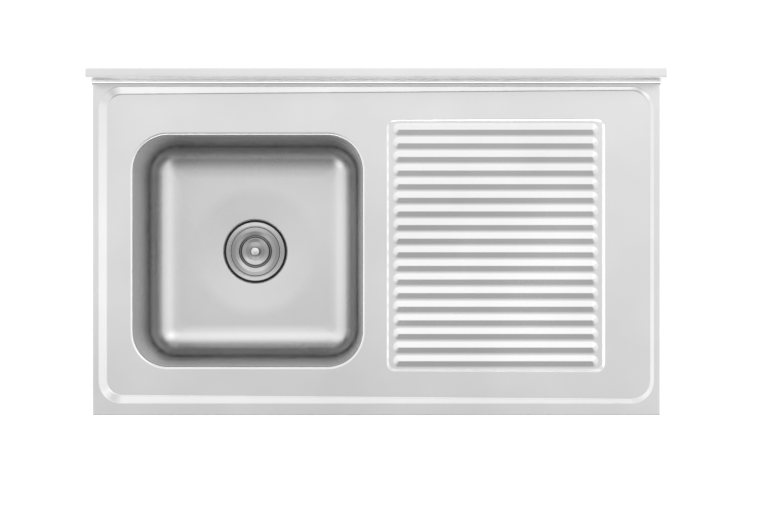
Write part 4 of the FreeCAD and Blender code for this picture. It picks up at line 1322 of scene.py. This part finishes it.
def ramp(tree, value, tones, low=0.0):
    """Greys by a value; tones gives (value, grey) in order, from low to 1."""
    made = tree.nodes.new("ShaderNodeValToRGB")
    stops = made.color_ramp.elements
    for place, tone in tones:
        share = (place - low) / (1 - low)
        stop = stops[0] if share == 0 else stops[-1] if share == 1 else stops.new(share)
        stop.color = (tone, tone, tone, 1)
    tree.links.new(spread(tree, value, 0, 1, low, 1), made.inputs["Fac"])
    return made.outputs["Color"]


def add_surround(scene, strength):
    """A pale studio, dark in front and bright behind, with a light ring at the horizon."""
    world = bpy.data.worlds.new("studio")
    scene.world = world
    world.use_nodes = True
    tree = world.node_tree
    tree.nodes.clear()
    output = tree.nodes.new("ShaderNodeOutputWorld")
    light = node(tree, "ShaderNodeBackground", Strength=strength)
    way = tree.nodes.new("ShaderNodeTexCoord").outputs["Generated"]
    x, y, z = split(tree, way)
    aside = maths(tree, "ABSOLUTE", x)
    ahead = maths(tree, "ABSOLUTE", y)
    beside = maths(
        tree,
        "MULTIPLY",
        spread(tree, aside, 0, SIDE_SHARE, *SIDE_START),
        spread(tree, ahead, 1, 0, *SIDE_WINDOW),
    )
    glow = ramp(tree, maths(tree, "MULTIPLY_ADD", x, RIGHT_LEAN, y), SKY_TONES, -1.0)
    glow = mixed(tree, beside, glow, ramp(tree, aside, SIDE_TONES))
    for aim, radius, tone in SOFT_BOXES:
        near = vector_maths(tree, "DOT_PRODUCT", way, Vector(aim).normalized()).outputs["Value"]
        share = spread(tree, near, 0, 1, math.cos(radius), 1)
        glow = mixed(tree, share, glow, grey(tone), "ADD")
    front = spread(tree, y, RING_TONE + RING_FRONT, RING_TONE, *RING_FRONT_FADE)
    rear = spread(tree, y, 0, RING_REAR, *RING_REAR_FADE)
    sides = spread(tree, aside, 0, RING_SIDES, *RING_SIDES_FADE)
    ring = maths(tree, "ADD", maths(tree, "ADD", front, sides), rear)
    glow = mixed(tree, spread(tree, z, 1, 0, *RING_TOP_FADE), glow, ring)
    tree.links.new(glow, light.inputs["Color"])
    tree.links.new(light.outputs[0], output.inputs["Surface"])


class SINK_PT_panel(bpy.types.Panel):
    """The sink's pieces and settings"""

    bl_idname = "SINK_PT_panel"
    bl_label = "Sink"
    bl_space_type = "VIEW_3D"
    bl_region_type = "UI"
    bl_category = "Sink"

    def draw(self, context):
        for settings in (context.scene.sink_looks, context.scene.sink_stage):
            for name in settings.__annotations__:
                self.layout.prop(settings, name)
        for operator in OPERATORS:
            self.layout.operator(operator.bl_idname)


OPERATORS = (SINK_OT_deck, SINK_OT_bowl, SINK_OT_waste, SINK_OT_fittings, SINK_OT_stage)
CLASSES = (SinkLooks, SinkStage, *OPERATORS, SINK_PT_panel)


def register():
    """Makes the classes and the scene's settings known."""
    for item in CLASSES:
        bpy.utils.register_class(item)
    bpy.types.Scene.sink_looks = bpy.props.PointerProperty(type=SinkLooks)
    bpy.types.Scene.sink_stage = bpy.props.PointerProperty(type=SinkStage)


def unregister():
    """Takes the settings and classes away again."""
    del bpy.types.Scene.sink_stage
    del bpy.types.Scene.sink_looks
    for item in reversed(CLASSES):
        bpy.utils.unregister_class(item)


def main():
    """Makes every piece, then sets the floor, the light and the camera."""
    register()
    bpy.ops.sink.deck()
    bpy.ops.sink.bowl()
    bpy.ops.sink.waste()
    bpy.ops.sink.fittings()
    bpy.ops.sink.stage()


if __name__ == "__main__":
    main()
